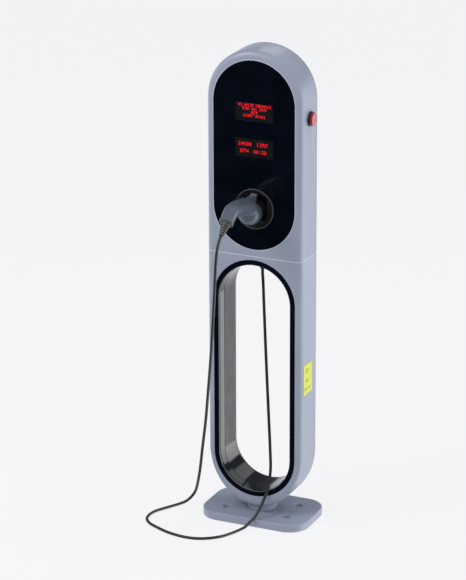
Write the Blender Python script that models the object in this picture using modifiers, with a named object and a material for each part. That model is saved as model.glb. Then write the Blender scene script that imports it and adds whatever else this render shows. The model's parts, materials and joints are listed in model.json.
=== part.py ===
"""Electric-vehicle charging post with a tethered connector parked in its holster.

A slim round-ended post stands on a bolted base plate.  Its upper half holds the electronics behind a
glossy fascia, its lower half is a loop that the charging cable is hung through.  Metres, +Z up, the
front faces -Y and the origin is on the floor under the middle of the base plate.
"""
import math

import bmesh
import bpy
from mathutils import Matrix, Vector

# ---- driving dimensions (metres) -------------------------------------------------------------
POST_HEIGHT = 1.400
HALF_WIDTH = 0.1450
DEPTH = 0.118
EDGE_RADIUS = 0.016
BODY_BOTTOM = 0.0430
BODY_BASE_CENTRE = 0.2130
WALL = 0.003
GAP = 0.0003
SEAM_Z = 0.8055
SEAM_GAP = 0.0006

FASCIA_HALF_WIDTH = 0.1243
FASCIA_TOP_CENTRE = 1.2500
FASCIA_BOTTOM_CENTRE = 0.9495
FASCIA_RECESS = 0.0015
FASCIA_THICKNESS = 0.004

WINDOW_HALF_WIDTH = 0.058
WINDOW_HALF_HEIGHT = 0.0255
WINDOW_CENTRES = {"upper": 1.2250, "lower": 1.1215}

LOOP_HALF_WIDTH = 0.1250
LOOP_TOP_CENTRE = 0.6695
LOOP_BOTTOM_CENTRE = 0.2028
LOOP_CLEAR_HALF_WIDTH = 0.1075
LOOP_LIP_RADIUS = 0.006

PLATE_HALF_WIDTH = 0.1635
PLATE_HALF_DEPTH = 0.1030
PLATE_CORNER = 0.060
PLATE_THICKNESS = 0.0242
ANCHOR_X = 0.0942
ANCHOR_Y = 0.0430
ANCHOR_HOLE_RADIUS = 0.0115
ANCHOR_CHAMFER = 0.0035
NECK_RADIUS = 0.0415
CABLE_DUCT_RADIUS = 0.020

HOLSTER_Z = 0.9453
BEZEL_RADIUS = 0.0588
CUP_RADIUS = 0.0365
CUP_DEPTH = 0.046
NOSE_RADIUS = 0.0300
NOSE_FLAT = 0.0230
HEAD_DROP = 0.004
HEAD_RADIUS = 0.0330
HEAD_START = 0.0215
DOME_CENTRE = 0.030
KEEL_SIZE = (0.023, 0.040, 0.020)
CONTACT_LENGTH = 0.020

BUTTON_Y = -0.003
BUTTON_Z = 1.210
BUTTON_COLLAR_RADIUS = 0.0212
BUTTON_CAP_RADIUS = 0.0184
BUTTON_BARREL_RADIUS = 0.0108
BUTTON_STEM_RADIUS = 0.0085

LABEL_SIZE_Y = 0.060
LABEL_SIZE_Z = 0.091
LABEL_CENTRE = (-0.0127, 0.4470)

CABLE_RADIUS = 0.0042
BOOT_LENGTH = 0.045
BOOT_SLOPE = math.radians(38.0)

CHASSIS_Y = -0.032
CHASSIS_THICKNESS = 0.002
RAIL_Z = 1.250
TOGGLE_TILT = 30.0
COVER_SCREW_RADIUS = 0.0050
COVER_SKIRT = 0.002

ARC_STEPS = 20
FILLET_STEPS = 4
LIP_STEPS = 3

FRONT_Y = -DEPTH / 2
REAR_Y = DEPTH / 2
BODY_TOP_CENTRE = POST_HEIGHT - HALF_WIDTH
BODY_BASE_REACH = BODY_BASE_CENTRE - BODY_BOTTOM
COVER_FRONT_Y = REAR_Y - EDGE_RADIUS - COVER_SKIRT
FASCIA_Y = FRONT_Y + FASCIA_RECESS
BOARD_Y = CHASSIS_Y + CHASSIS_THICKNESS / 2

# The connector's arm lies in the plane X = 0: distance out from the fascia, height above the
# holster's centre, radius.
ARM_STATIONS = [
    (0.040, 0.015, 0.0265),
    (0.064, 0.026, 0.0245),
    (0.093, 0.032, 0.0237),
    (0.124, 0.0372, 0.0230),
    (0.154, 0.0365, 0.0215),
]
ARM_END = (0.186, 0.0158)
ARM_END_RADIUS = 0.0190

# The free cable's route, from the gland in the loop, over the loop's lip and the base plate, round
# the floor and up to the connector's boot.
CABLE_ROUTE = [
    (0.000, 0.000, 0.7517),
    (0.000, 0.000, 0.738),
    (0.002, -0.001, 0.717),
    (0.006, -0.005, 0.659),
    (0.020, -0.020, 0.485),
    (0.036, -0.037, 0.310),
    (0.045, -0.048, 0.223),
    (0.0495, -0.056, 0.165),
    (0.044, -0.064, 0.106),
    (0.034, -0.075, 0.071),
    (0.029, -0.086, 0.053),
    (0.021, -0.102, 0.033),
    (0.011, -0.117, 0.019),
    (0.003, -0.130, 0.0095),
    (-0.007, -0.145, 0.0048),
    (-0.021, -0.182, 0.0048),
    (-0.039, -0.213, 0.0048),
    (-0.080, -0.245, 0.0048),
    (-0.121, -0.255, 0.0048),
    (-0.180, -0.247, 0.0048),
    (-0.233, -0.225, 0.0048),
    (-0.268, -0.204, 0.0048),
    (-0.288, -0.174, 0.0048),
    (-0.288, -0.129, 0.0048),
    (-0.268, -0.088, 0.0048),
    (-0.243, -0.042, 0.0048),
    (-0.233, -0.028, 0.008),
    (-0.222, -0.0185, 0.018),
    (-0.212, -0.0155, 0.032),
    (-0.204, -0.019, 0.047),
    (-0.173, -0.058, 0.128),
    (-0.148, -0.095, 0.208),
    (-0.113, -0.144, 0.325),
    (-0.084, -0.188, 0.437),
    (-0.057, -0.229, 0.546),
    (-0.034, -0.265, 0.650),
    (-0.016, -0.292, 0.750),
    (-0.007, -0.3045, 0.813),
    (-0.002, -0.308, 0.873),
    (-0.001, -0.301, 0.904),
]
CABLE_POINT_SPACING = 0.033


# ---- scene and materials ---------------------------------------------------------------------
def clear_scene():
    for old in list(bpy.data.objects):
        bpy.data.objects.remove(old)


def new_collection(name):
    collection = bpy.data.collections.new(name)
    bpy.context.scene.collection.children.link(collection)
    return collection


clear_scene()
PARTS = new_collection("ev_charging_post")
CUTTERS = new_collection("cutters")
MATERIALS = {}


def material(name, colour, roughness, metallic=0.0):
    """A Principled material, made once for each name."""
    if name not in MATERIALS:
        made = bpy.data.materials.new(name)
        made.use_nodes = True
        shader = made.node_tree.nodes["Principled BSDF"]
        shader.inputs["Base Color"].default_value = (*colour, 1.0)
        shader.inputs["Roughness"].default_value = roughness
        shader.inputs["Metallic"].default_value = metallic
        MATERIALS[name] = made
    return MATERIALS[name]


def paint():
    return material("blue_grey_paint", (0.32, 0.36, 0.44), 0.38)


def gloss_black():
    return material("gloss_black", (0.006, 0.008, 0.014), 0.08)


def connector_grey():
    return material("connector_grey", (0.11, 0.15, 0.20), 0.35)


def black_rubber():
    return material("black_rubber", (0.025, 0.025, 0.027), 0.55)


def dark_plastic():
    return material("dark_plastic", (0.03, 0.032, 0.036), 0.45)


def device_grey():
    return material("device_grey", (0.55, 0.56, 0.57), 0.5)


def steel():
    return material("steel", (0.55, 0.56, 0.58), 0.32, 1.0)


# ---- placing and joining ---------------------------------------------------------------------
def add_object(name, data, collection=PARTS):
    made = bpy.data.objects.new(name, data)
    collection.objects.link(made)
    return made


def finish(made, surface, smooth_angle=35.0):
    """Gives a mesh object its material, and smooth shading away from its sharp edges."""
    if made.type == "MESH":
        made.data.shade_smooth()
        made.data.set_sharp_from_angle(angle=math.radians(smooth_angle))
    made.data.materials.clear()
    made.data.materials.append(surface)
    return made


def hide_cutter(cutter):
    cutter.hide_render = True
    cutter.display_type = "WIRE"
    return cutter


def to_collection(made, collection):
    for old in list(made.users_collection):
        old.objects.unlink(made)
    collection.objects.link(made)


def boolean(target, other, operation="DIFFERENCE"):
    modifier = target.modifiers.new(operation.title() + "_" + other.name, "BOOLEAN")
    modifier.operation = operation
    modifier.object = other
    return modifier


def add_bevel(target, width, segments=2, angle=40.0):
    modifier = target.modifiers.new("Bevel", "BEVEL")
    modifier.width = width
    modifier.segments = segments
    modifier.limit_method = "ANGLE"
    modifier.angle_limit = math.radians(angle)
    return modifier


def add_box(name, size, centre, collection=PARTS):
    """A box from a primitive cube, with its scale applied."""
    bpy.ops.mesh.primitive_cube_add(size=1.0, location=(0, 0, 0))
    made = bpy.context.object
    made.name = name
    made.data.transform(Matrix.Diagonal((*size, 1.0)))
    made.location = centre
    to_collection(made, collection)
    return made


def axis_turn(axis):
    """The rotation that takes +Z to the given axis."""
    return Vector((0, 0, 1)).rotation_difference(Vector(axis).normalized()).to_matrix().to_4x4()


def add_cylinder(name, radius, length, centre, axis=(0, 0, 1), sides=32, collection=PARTS):
    bpy.ops.mesh.primitive_cylinder_add(vertices=sides, radius=radius, depth=length)
    made = bpy.context.object
    made.name = name
    made.data.transform(axis_turn(axis))
    made.location = centre
    to_collection(made, collection)
    return made


def add_turned(name, profile, origin, axis=(0, 0, 1), sides=32, collection=PARTS):
    """Turns a profile of (radius, height) points, listed down the outer side, about an axis."""
    mesh = bpy.data.meshes.new(name)
    shape = bmesh.new()
    points = [shape.verts.new((radius, 0.0, height)) for radius, height in profile]
    closed = profile[0][0] > 0 and profile[-1][0] > 0
    for first, second in zip(points, points[1:] + (points[:1] if closed else [])):
        shape.edges.new((first, second))
    shape.to_mesh(mesh)
    shape.free()
    made = add_object(name, mesh, collection)
    screw = made.modifiers.new("Screw", "SCREW")
    screw.axis = "Z"
    screw.steps = sides
    screw.render_steps = sides
    screw.use_merge_vertices = True
    screw.merge_threshold = 0.00005
    screw.use_smooth_shade = True
    made.matrix_world = Matrix.Translation(origin) @ axis_turn(axis)
    return made


# ---- outlines and lofts ----------------------------------------------------------------------
def stadium(half_width, top_centre, bottom_centre, bottom_reach=None, steps=ARC_STEPS):
    """The round-ended outline as (x, z) points, anticlockwise seen from the front.  With a
    bottom_reach its lower end is half an ellipse of that height."""
    reach = bottom_reach or half_width
    points = []
    for step in range(steps + 1):
        angle = math.pi * step / steps
        points.append((half_width * math.cos(angle), top_centre + half_width * math.sin(angle)))
    for step in range(steps + 1):
        angle = math.pi * step / steps
        points.append((-half_width * math.cos(angle), bottom_centre - reach * math.sin(angle)))
    return points


def rounded_rectangle(half_x, half_y, radius, steps=6):
    points = []
    corners = [(1, 1), (-1, 1), (-1, -1), (1, -1)]
    for quarter, (sign_x, sign_y) in enumerate(corners):
        for step in range(steps + 1):
            angle = math.pi / 2 * (quarter + step / steps)
            points.append((
                sign_x * (half_x - radius) + radius * math.cos(angle),
                sign_y * (half_y - radius) + radius * math.sin(angle),
            ))
    return points


def circle(radius, centre_x, centre_z, steps=48):
    turn = 2 * math.pi / steps
    return [
        (centre_x + radius * math.cos(turn * step), centre_z + radius * math.sin(turn * step))
        for step in range(steps)
    ]


def loft(name, rings, fill_last=False, collection=PARTS):
    """An open surface through rings that share one point count, each a (outline, y) pair."""
    mesh = bpy.data.meshes.new(name)
    shape = bmesh.new()
    loops = [[shape.verts.new((x, y, z)) for x, z in outline] for outline, y in rings]
    count = len(loops[0])
    for ring, following in zip(loops, loops[1:]):
        for index in range(count):
            after = (index + 1) % count
            shape.faces.new((ring[index], ring[after], following[after], following[index]))
    if fill_last:
        shape.faces.new(loops[-1])
    shape.to_mesh(mesh)
    shape.free()
    return add_object(name, mesh, collection)


def keep_side(made, height, above):
    """Cuts a mesh at a level plane and keeps one side of it."""
    shape = bmesh.new()
    shape.from_mesh(made.data)
    bmesh.ops.bisect_plane(
        shape,
        geom=shape.verts[:] + shape.edges[:] + shape.faces[:],
        dist=1e-6,
        plane_co=(0, 0, height),
        plane_no=(0, 0, 1),
        clear_inner=above,
        clear_outer=not above,
    )
    shape.to_mesh(made.data)
    shape.free()


def solidify(made, thickness):
    """Thickens an open surface away from its visible side."""
    modifier = made.modifiers.new("Solidify", "SOLIDIFY")
    modifier.thickness = thickness
    modifier.offset = -1.0
    modifier.use_even_offset = True
    return modifier


def flat_outline(name, outlines, thickness):
    """A flat slab from closed outlines, the first its edge and the rest its holes, as a mesh."""
    curve = bpy.data.curves.new(name, "CURVE")
    curve.dimensions = "2D"
    curve.fill_mode = "BOTH"
    curve.extrude = thickness / 2
    for outline in outlines:
        spline = curve.splines.new("POLY")
        spline.points.add(len(outline) - 1)
        for point, (x, y) in zip(spline.points, outline):
            point.co = (x, y, 0.0, 1.0)
        spline.use_cyclic_u = True
    return curve_to_mesh(add_object(name, curve))


def curve_to_mesh(made):
    """Replaces a curve object by its mesh, with the caps welded on."""
    name = made.name
    evaluated = made.evaluated_get(bpy.context.evaluated_depsgraph_get())
    mesh = bpy.data.meshes.new_from_object(evaluated)
    shape = bmesh.new()
    shape.from_mesh(mesh)
    bmesh.ops.remove_doubles(shape, verts=shape.verts, dist=1e-5)
    shape.to_mesh(mesh)
    shape.free()
    place = made.matrix_world.copy()
    bpy.data.objects.remove(made)
    solid = add_object(name, mesh)
    solid.matrix_world = place
    return solid


def upright(made, y):
    """Stands a slab that was drawn flat in the plane of the front, at depth y."""
    made.matrix_world = Matrix.Translation((0, y, 0)) @ Matrix.Rotation(math.pi / 2, 4, "X")
    return made


def smooth_route(route, spacing):
    """Evenly spaced points on a smooth curve through the route's points."""
    fine = []
    padded = [2 * route[0] - route[1]] + route + [2 * route[-1] - route[-2]]
    substeps = 24
    for index in range(1, len(padded) - 2):
        before, start, end, after = padded[index - 1:index + 3]
        knots = [0.0]
        for first, second in ((before, start), (start, end), (end, after)):
            knots.append(knots[-1] + math.sqrt((second - first).length))
        for step in range(substeps):
            at = knots[1] + (knots[2] - knots[1]) * step / substeps
            fine.append(spline_point((before, start, end, after), knots, at))
    fine.append(route[-1])
    travelled = [0.0]
    for first, second in zip(fine, fine[1:]):
        travelled.append(travelled[-1] + (second - first).length)
    count = max(2, round(travelled[-1] / spacing))
    points = []
    index = 0
    for step in range(count + 1):
        target = travelled[-1] * step / count
        while index < len(fine) - 2 and travelled[index + 1] < target:
            index += 1
        share = (target - travelled[index]) / (travelled[index + 1] - travelled[index])
        points.append(fine[index].lerp(fine[index + 1], share))
    return points


def spline_point(controls, knots, at):
    """One point of a centripetal Catmull-Rom span, by repeated interpolation."""
    level = list(controls)
    for reach in (1, 2, 3):
        following = []
        for index in range(len(level) - 1):
            low = knots[index] if reach < 3 else knots[1]
            high = knots[index + reach] if reach < 3 else knots[2]
            share = (at - low) / (high - low)
            following.append(level[index] + (level[index + 1] - level[index]) * share)
        level = following
    return level[0]


def add_tube(name, points, radius, resolution=2, radii=None):
    """A round tube along points, with filled caps."""
    curve = bpy.data.curves.new(name, "CURVE")
    curve.dimensions = "3D"
    curve.bevel_depth = radius
    curve.bevel_resolution = resolution
    curve.use_fill_caps = True
    spline = curve.splines.new("POLY")
    spline.points.add(len(points) - 1)
    for index, point in enumerate(points):
        spline.points[index].co = (*point, 1.0)
        spline.points[index].radius = radii[index] / radius if radii else 1.0
    return add_object(name, curve)


# ---- base ------------------------------------------------------------------------------------
def build_base():
    outline = rounded_rectangle(PLATE_HALF_WIDTH, PLATE_HALF_DEPTH, PLATE_CORNER, steps=8)
    plate = flat_outline("base_plate", [outline], PLATE_THICKNESS)
    plate.location.z = PLATE_THICKNESS / 2
    add_bevel(plate, 0.0025, segments=2, angle=60.0)
    for index, (sign_x, sign_y) in enumerate([(1, 1), (-1, 1), (-1, -1), (1, -1)]):
        wide = ANCHOR_HOLE_RADIUS + ANCHOR_CHAMFER
        profile = [
            (0.0, PLATE_THICKNESS + 0.001),
            (wide + 0.001, PLATE_THICKNESS + 0.001),
            (ANCHOR_HOLE_RADIUS, PLATE_THICKNESS - ANCHOR_CHAMFER),
            (ANCHOR_HOLE_RADIUS, -0.001),
            (0.0, -0.001),
        ]
        place = (sign_x * ANCHOR_X, sign_y * ANCHOR_Y, 0.0)
        hole = add_turned(f"cut_anchor_{index}", profile, place, sides=24, collection=CUTTERS)
        boolean(plate, hide_cutter(hole))
    duct = add_cylinder("cut_plate_duct", CABLE_DUCT_RADIUS, 0.08, (0, 0, 0), collection=CUTTERS)
    boolean(plate, hide_cutter(duct))
    finish(plate, paint())

    neck_top = BODY_BOTTOM + 0.010
    profile = [
        (CABLE_DUCT_RADIUS, neck_top),
        (NECK_RADIUS - 0.001, neck_top),
        (NECK_RADIUS - 0.001, PLATE_THICKNESS + 0.012),
        (NECK_RADIUS + 0.002, PLATE_THICKNESS + 0.008),
        (NECK_RADIUS + 0.002, PLATE_THICKNESS + GAP),
        (CABLE_DUCT_RADIUS, PLATE_THICKNESS + GAP),
    ]
    neck = add_turned("neck_collar", profile, (0, 0, 0), sides=32)
    shoulder = add_cylinder(
        "cut_neck", HALF_WIDTH + GAP, 0.2, (0, 0, BODY_BASE_CENTRE), (0, 1, 0), 60, CUTTERS
    )
    shoulder.data.transform(Matrix.Diagonal((1.0, 1.0, (BODY_BASE_REACH + GAP) / (HALF_WIDTH + GAP), 1.0)))
    boolean(neck, hide_cutter(shoulder))
    finish(neck, paint())


# ---- housings and covers ---------------------------------------------------------------------
def body_outline(inset=0.0):
    reach = BODY_BASE_REACH - inset
    return stadium(HALF_WIDTH - inset, BODY_TOP_CENTRE, BODY_BASE_CENTRE, reach)


def rounded_rings(side):
    """Rings from the side of the body round its edge on to its front (-1) or rear (+1) face."""
    face_y = side * REAR_Y
    rings = []
    for step in range(FILLET_STEPS + 1):
        angle = math.pi / 2 * step / FILLET_STEPS
        inset = EDGE_RADIUS * (1 - math.cos(angle))
        y = face_y - side * EDGE_RADIUS * (1 - math.sin(angle))
        rings.append((body_outline(inset), y))
    return rings


def front_rings(opening):
    rings = [(body_outline(), COVER_FRONT_Y - GAP)]
    rings += rounded_rings(-1.0)
    rings.append((opening, FRONT_Y))
    return rings


def rear_rings():
    return [(body_outline(), COVER_FRONT_Y)] + rounded_rings(1.0)


def loop_opening(extra=0.0):
    return stadium(LOOP_HALF_WIDTH + extra, LOOP_TOP_CENTRE, LOOP_BOTTOM_CENTRE)


def fascia_opening(extra=0.0):
    return stadium(FASCIA_HALF_WIDTH + extra, FASCIA_TOP_CENTRE, FASCIA_BOTTOM_CENTRE)


def build_upper_housing():
    housing = loft("upper_housing", front_rings(fascia_opening(GAP)))
    keep_side(housing, SEAM_Z + SEAM_GAP / 2, above=True)
    solidify(housing, WALL)
    hole = add_cylinder(
        "cut_button", BUTTON_BARREL_RADIUS + GAP, 0.03, (HALF_WIDTH, BUTTON_Y, BUTTON_Z), (1, 0, 0),
        32, CUTTERS
    )
    boolean(housing, hide_cutter(hole))
    finish(housing, paint())


def build_lower_housing():
    housing = loft("lower_housing", front_rings(loop_opening(GAP)))
    keep_side(housing, SEAM_Z - SEAM_GAP / 2, above=False)
    solidify(housing, WALL)
    hole = add_cylinder("cut_inlet", 0.0128, 0.03, (0, 0, BODY_BOTTOM), collection=CUTTERS)
    boolean(housing, hide_cutter(hole))
    finish(housing, paint())


def flip_faces(made):
    shape = bmesh.new()
    shape.from_mesh(made.data)
    bmesh.ops.reverse_faces(shape, faces=shape.faces)
    shape.to_mesh(made.data)
    shape.free()


def screw_places(cover):
    if cover == "upper":
        return [(-0.100, 0.835), (0.100, 0.835), (-0.085, 1.310), (0.085, 1.310)]
    return [(-0.134, 0.600), (0.134, 0.600), (-0.134, 0.270), (0.134, 0.270)]


def build_rear_covers():
    upper = loft("upper_rear_cover", rear_rings(), fill_last=True)
    flip_faces(upper)
    keep_side(upper, SEAM_Z + SEAM_GAP / 2, above=True)
    lower = loft("lower_rear_cover", rear_rings() + [(loop_opening(GAP), REAR_Y)])
    flip_faces(lower)
    keep_side(lower, SEAM_Z - SEAM_GAP / 2, above=False)
    for name, cover in (("upper", upper), ("lower", lower)):
        solidify(cover, WALL)
        for index, (x, z) in enumerate(screw_places(name)):
            tag = f"{name}_cover_screw_{index + 1}"
            hole = add_cylinder(
                "cut_" + tag, 0.0024, 0.02, (x, REAR_Y, z), (0, 1, 0), 12, CUTTERS
            )
            boolean(cover, hide_cutter(hole))
            build_cover_screw(tag, x, z)
        finish(cover, paint())


def build_cover_screw(name, x, z):
    """A button-head screw with a hexagon recess, its head on the cover and its shank through it."""
    radius = COVER_SCREW_RADIUS if name.startswith("upper") else COVER_SCREW_RADIUS * 0.8
    profile = [
        (0.0, 0.0026),
        (radius * 0.55, 0.0024),
        (radius, 0.0008),
        (radius, GAP),
        (0.0020, GAP),
        (0.0020, -0.012),
        (0.0, -0.012),
    ]
    screw = add_turned(name, profile, (x, REAR_Y, z), (0, 1, 0), sides=12)
    recess = add_cylinder(
        "cut_" + name + "_hex", 0.0018, 0.003, (x, REAR_Y + 0.0026, z), (0, 1, 0), 6, CUTTERS
    )
    boolean(screw, hide_cutter(recess))
    finish(screw, steel())


def build_loop_liner():
    """The glossy sleeve through the loop, with a flange at the front and at the rear."""
    rings = []
    for side in (-1.0, 1.0):
        face_y = side * REAR_Y
        lip = [(loop_opening(), face_y)]
        for step in range(LIP_STEPS + 1):
            angle = math.pi / 2 * step / LIP_STEPS
            half = LOOP_CLEAR_HALF_WIDTH + LOOP_LIP_RADIUS * (1 - math.sin(angle))
            y = face_y - side * LOOP_LIP_RADIUS * (1 - math.cos(angle))
            lip.append((stadium(half, LOOP_TOP_CENTRE, LOOP_BOTTOM_CENTRE), y))
        rings += lip if side < 0 else list(reversed(lip))
    liner = loft("loop_liner", rings)
    solidify(liner, WALL)
    top = LOOP_TOP_CENTRE + LOOP_CLEAR_HALF_WIDTH
    hole = add_cylinder("cut_gland", 0.0083, 0.03, (0, 0, top), collection=CUTTERS)
    boolean(liner, hide_cutter(hole))
    finish(liner, gloss_black())


def build_bulkhead():
    """The inner plate that joins the two housings just above their seam, with a hole for the lead."""
    clear = WALL + 0.0008
    outline = rounded_rectangle(HALF_WIDTH - clear, REAR_Y - clear, EDGE_RADIUS, steps=4)
    plate = flat_outline("mid_bulkhead", [outline, circle(0.014, 0.0, 0.0, steps=24)], 0.002)
    plate.location.z = SEAM_Z + 0.009
    finish(plate, steel())


# ---- fascia, displays and holster ------------------------------------------------------------
def window_outline(centre, inset):
    half_x = WINDOW_HALF_WIDTH - inset
    half_z = WINDOW_HALF_HEIGHT - inset
    return [(x, z + centre) for x, z in rounded_rectangle(half_x, half_z, 0.003, steps=3)]


def build_fascia():
    outlines = [fascia_opening()]
    outlines += [window_outline(centre, 0.0) for centre in WINDOW_CENTRES.values()]
    outlines.append(circle(BEZEL_RADIUS + GAP, 0.0, HOLSTER_Z))
    fascia = flat_outline("fascia_panel", outlines, FASCIA_THICKNESS)
    finish(upright(fascia, FASCIA_Y + FASCIA_THICKNESS / 2), gloss_black())
    window_depth = 0.003
    for name, centre in WINDOW_CENTRES.items():
        window = flat_outline(f"{name}_display_window", [window_outline(centre, GAP)], window_depth)
        smoked = material("smoked_window", (0.012, 0.014, 0.016), 0.12)
        finish(upright(window, FASCIA_Y + GAP + window_depth / 2), smoked)
        front = FASCIA_Y + window_depth + 2 * GAP
        board = add_box(f"{name}_led_module", (0.112, 0.012, 0.047), (0, front + 0.006, centre))
        add_bevel(board, 0.0006, segments=1)
        finish(board, dark_plastic())


def build_holster():
    front = FASCIA_Y
    depth = CUP_DEPTH
    bezel_rear = 0.0130
    profile = [
        (BEZEL_RADIUS - 0.0022, 0.0016),
        (BEZEL_RADIUS - 0.0006, 0.0012),
        (BEZEL_RADIUS, 0.0),
        (BEZEL_RADIUS, -FASCIA_THICKNESS),
        (CUP_RADIUS + 0.0060, -bezel_rear),
        (CUP_RADIUS + 0.0020, -bezel_rear),
        (CUP_RADIUS + 0.0020, -0.0090),
        (CUP_RADIUS + 0.0080, -0.0060),
        (BEZEL_RADIUS - 0.0050, 0.0002),
    ]
    place = (0, front, HOLSTER_Z)
    bezel = add_turned("holster_bezel", profile, place, (0, -1, 0), sides=40)
    finish(bezel, gloss_black())
    rim = -bezel_rear - GAP
    profile = [
        (CUP_RADIUS, rim),
        (CUP_RADIUS + 0.003, rim),
        (CUP_RADIUS + 0.003, -depth - 0.003),
        (0.0, -depth - 0.003),
    ]
    inner = [(0.0, -depth), (CUP_RADIUS, -depth)]
    cup = add_turned("holster_cup", inner + profile, place, (0, -1, 0), sides=32)
    finish(cup, dark_plastic())


# ---- connector -------------------------------------------------------------------------------
def arm_point(out, rise):
    return Vector((0.0, FASCIA_Y - out, HOLSTER_Z + rise))


def boot_axis():
    return Vector((0.0, -math.cos(BOOT_SLOPE), -math.sin(BOOT_SLOPE)))


def build_connector():
    """The moulded body: a round head, a keel on top of it and the bent arm, joined as one."""
    profile = [(0.0, DOME_CENTRE + HEAD_RADIUS)]
    for step in range(1, 6):
        angle = math.pi / 2 * (1 - step / 6)
        along = DOME_CENTRE + HEAD_RADIUS * math.sin(angle)
        profile.append((HEAD_RADIUS * math.cos(angle), along))
    profile += [
        (HEAD_RADIUS, DOME_CENTRE),
        (HEAD_RADIUS - 0.0004, HEAD_START + 0.002),
        (HEAD_RADIUS - 0.0020, HEAD_START),
        (0.0, HEAD_START),
    ]
    origin = (0, FASCIA_Y, HOLSTER_Z - HEAD_DROP)
    head = add_turned("connector_body", profile, origin, (0, -1, 0), 32)
    keel_place = (0, FASCIA_Y - 0.026, HOLSTER_Z + NOSE_FLAT + 0.0105)
    keel = add_box("cut_connector_keel", KEEL_SIZE, keel_place, CUTTERS)
    add_bevel(keel, 0.005, segments=2)
    boolean(head, hide_cutter(keel), "UNION")

    end = arm_point(*ARM_END)
    lead_in = end - boot_axis() * 0.012
    stations = [arm_point(out, rise) for out, rise, _ in ARM_STATIONS] + [lead_in, end]
    sizes = [size for _, _, size in ARM_STATIONS] + [ARM_END_RADIUS + 0.0005, ARM_END_RADIUS]
    route = smooth_route(stations, 0.012)
    radii = [radius_at(point, stations, sizes) for point in route]
    arm = curve_to_mesh(add_tube("cut_connector_arm", route, ARM_END_RADIUS, 6, radii))
    to_collection(arm, CUTTERS)
    boolean(head, hide_cutter(arm), "UNION")
    finish(head, connector_grey(), smooth_angle=50.0)

    build_nose()
    build_boot(end)


def radius_at(point, stations, sizes):
    """The arm's radius at a point, between the two stations nearest to it."""
    reach = [(point - station).length for station in stations]
    nearest = min(range(len(stations)), key=lambda index: reach[index])
    options = [index for index in (nearest - 1, nearest + 1) if 0 <= index < len(stations)]
    partner = min(options, key=lambda index: reach[index])
    share = reach[nearest] / (reach[nearest] + reach[partner])
    return sizes[nearest] + (sizes[partner] - sizes[nearest]) * share


def contact_places():
    """The seven contacts of a type 2 face: two small ones above five large ones."""
    places = [(-0.0085, 0.0165, 0.0019), (0.0085, 0.0165, 0.0019)]
    places += [(-0.0170, 0.0010, 0.0034), (0.0, 0.0010, 0.0034), (0.0170, 0.0010, 0.0034)]
    places += [(-0.0090, -0.0150, 0.0034), (0.0090, -0.0150, 0.0034)]
    return places


def build_nose():
    """The connector's dark face, in the holster, with a bore for each contact."""
    start = FASCIA_Y - HEAD_START + GAP
    end = FASCIA_Y + CUP_DEPTH - 0.006
    middle = (start + end) / 2
    nose = add_cylinder(
        "connector_nose", NOSE_RADIUS, end - start, (0, middle, HOLSTER_Z), (0, 1, 0), 32
    )
    add_bevel(nose, 0.001, segments=2, angle=60.0)
    flat_place = (0, middle, HOLSTER_Z + NOSE_FLAT + 0.010)
    flat = add_box("cut_nose_flat", (0.08, 0.10, 0.02), flat_place, CUTTERS)
    boolean(nose, hide_cutter(flat))
    bore_length = CONTACT_LENGTH + 0.006
    middle = end - CONTACT_LENGTH / 2 - 0.002
    for index, (x, z, radius) in enumerate(contact_places()):
        name = f"connector_contact_{index + 1}"
        height = HOLSTER_Z + z
        bore = add_cylinder(
            "cut_" + name, radius + 0.0008, bore_length, (x, middle, height), (0, 1, 0), 12, CUTTERS
        )
        boolean(nose, hide_cutter(bore))
        place = (x, middle - 0.001, height)
        contact = add_cylinder(name, radius, CONTACT_LENGTH, place, (0, 1, 0), 10)
        finish(contact, material("contact_silver", (0.75, 0.73, 0.68), 0.25, 1.0))
    finish(nose, dark_plastic())


def build_boot(arm_end):
    """The ribbed, tapered boot that the cable leaves the connector through."""
    wide = 0.0140
    narrow = 0.0078
    ribs = 5
    profile = [(0.0, 0.0), (narrow, 0.0)]
    for rib in range(ribs):
        share = (rib + 0.35) / ribs
        radius = narrow + (wide - narrow) * share
        along = -BOOT_LENGTH * share
        half = BOOT_LENGTH / ribs * 0.22
        profile += [
            (radius, along + half), (radius + 0.0004, along - half),
            (radius - 0.0016, along - half * 1.15), (radius - 0.0012, along - half * 3.0),
        ]
    profile += [(wide + 0.0008, -BOOT_LENGTH * 0.96), (wide + 0.0008, -BOOT_LENGTH)]
    profile += [(0.0, -BOOT_LENGTH)]
    tip = arm_end + boot_axis() * (BOOT_LENGTH + GAP)
    boot = add_turned("connector_boot", profile, tip, boot_axis(), sides=16)
    finish(boot, black_rubber())


# ---- cable and gland -------------------------------------------------------------------------
def build_cable():
    tip = arm_point(*ARM_END) + boot_axis() * (BOOT_LENGTH + 2 * GAP)
    route = [Vector(point) for point in CABLE_ROUTE] + [tip + boot_axis() * 0.012]
    points = smooth_route(route, CABLE_POINT_SPACING) + [tip]
    cable = add_tube("charging_cable", points, CABLE_RADIUS, 2)
    finish(cable, black_rubber())


def build_gland():
    top = LOOP_TOP_CENTRE + LOOP_CLEAR_HALF_WIDTH
    profile = [
        (0.0, top + 0.024),
        (0.0080, top + 0.024),
        (0.0080, top - 0.0013),
        (0.0, top - 0.0013),
    ]
    finish(add_turned("gland_body", profile, (0, 0, 0), sides=24), dark_plastic())
    profile = [
        (0.0, top - 0.0016),
        (0.0118, top - 0.0016),
        (0.0118, top - 0.0100),
        (0.0105, top - 0.0170),
        (0.0078, top - 0.0215),
        (0.0068, top - 0.0250),
        (0.0, top - 0.0250),
    ]
    nut = add_turned("gland_dome_nut", profile, (0, 0, 0), sides=24)
    finish(nut, dark_plastic())
    middle = (0, 0, top + WALL + 0.0040)
    nut = add_cylinder("gland_lock_nut", 0.0140, 0.0060, middle, sides=6)
    bore = add_cylinder("cut_lock_nut", 0.0080 + GAP, 0.02, middle, sides=24, collection=CUTTERS)
    boolean(nut, hide_cutter(bore))
    finish(nut, dark_plastic())


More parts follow.
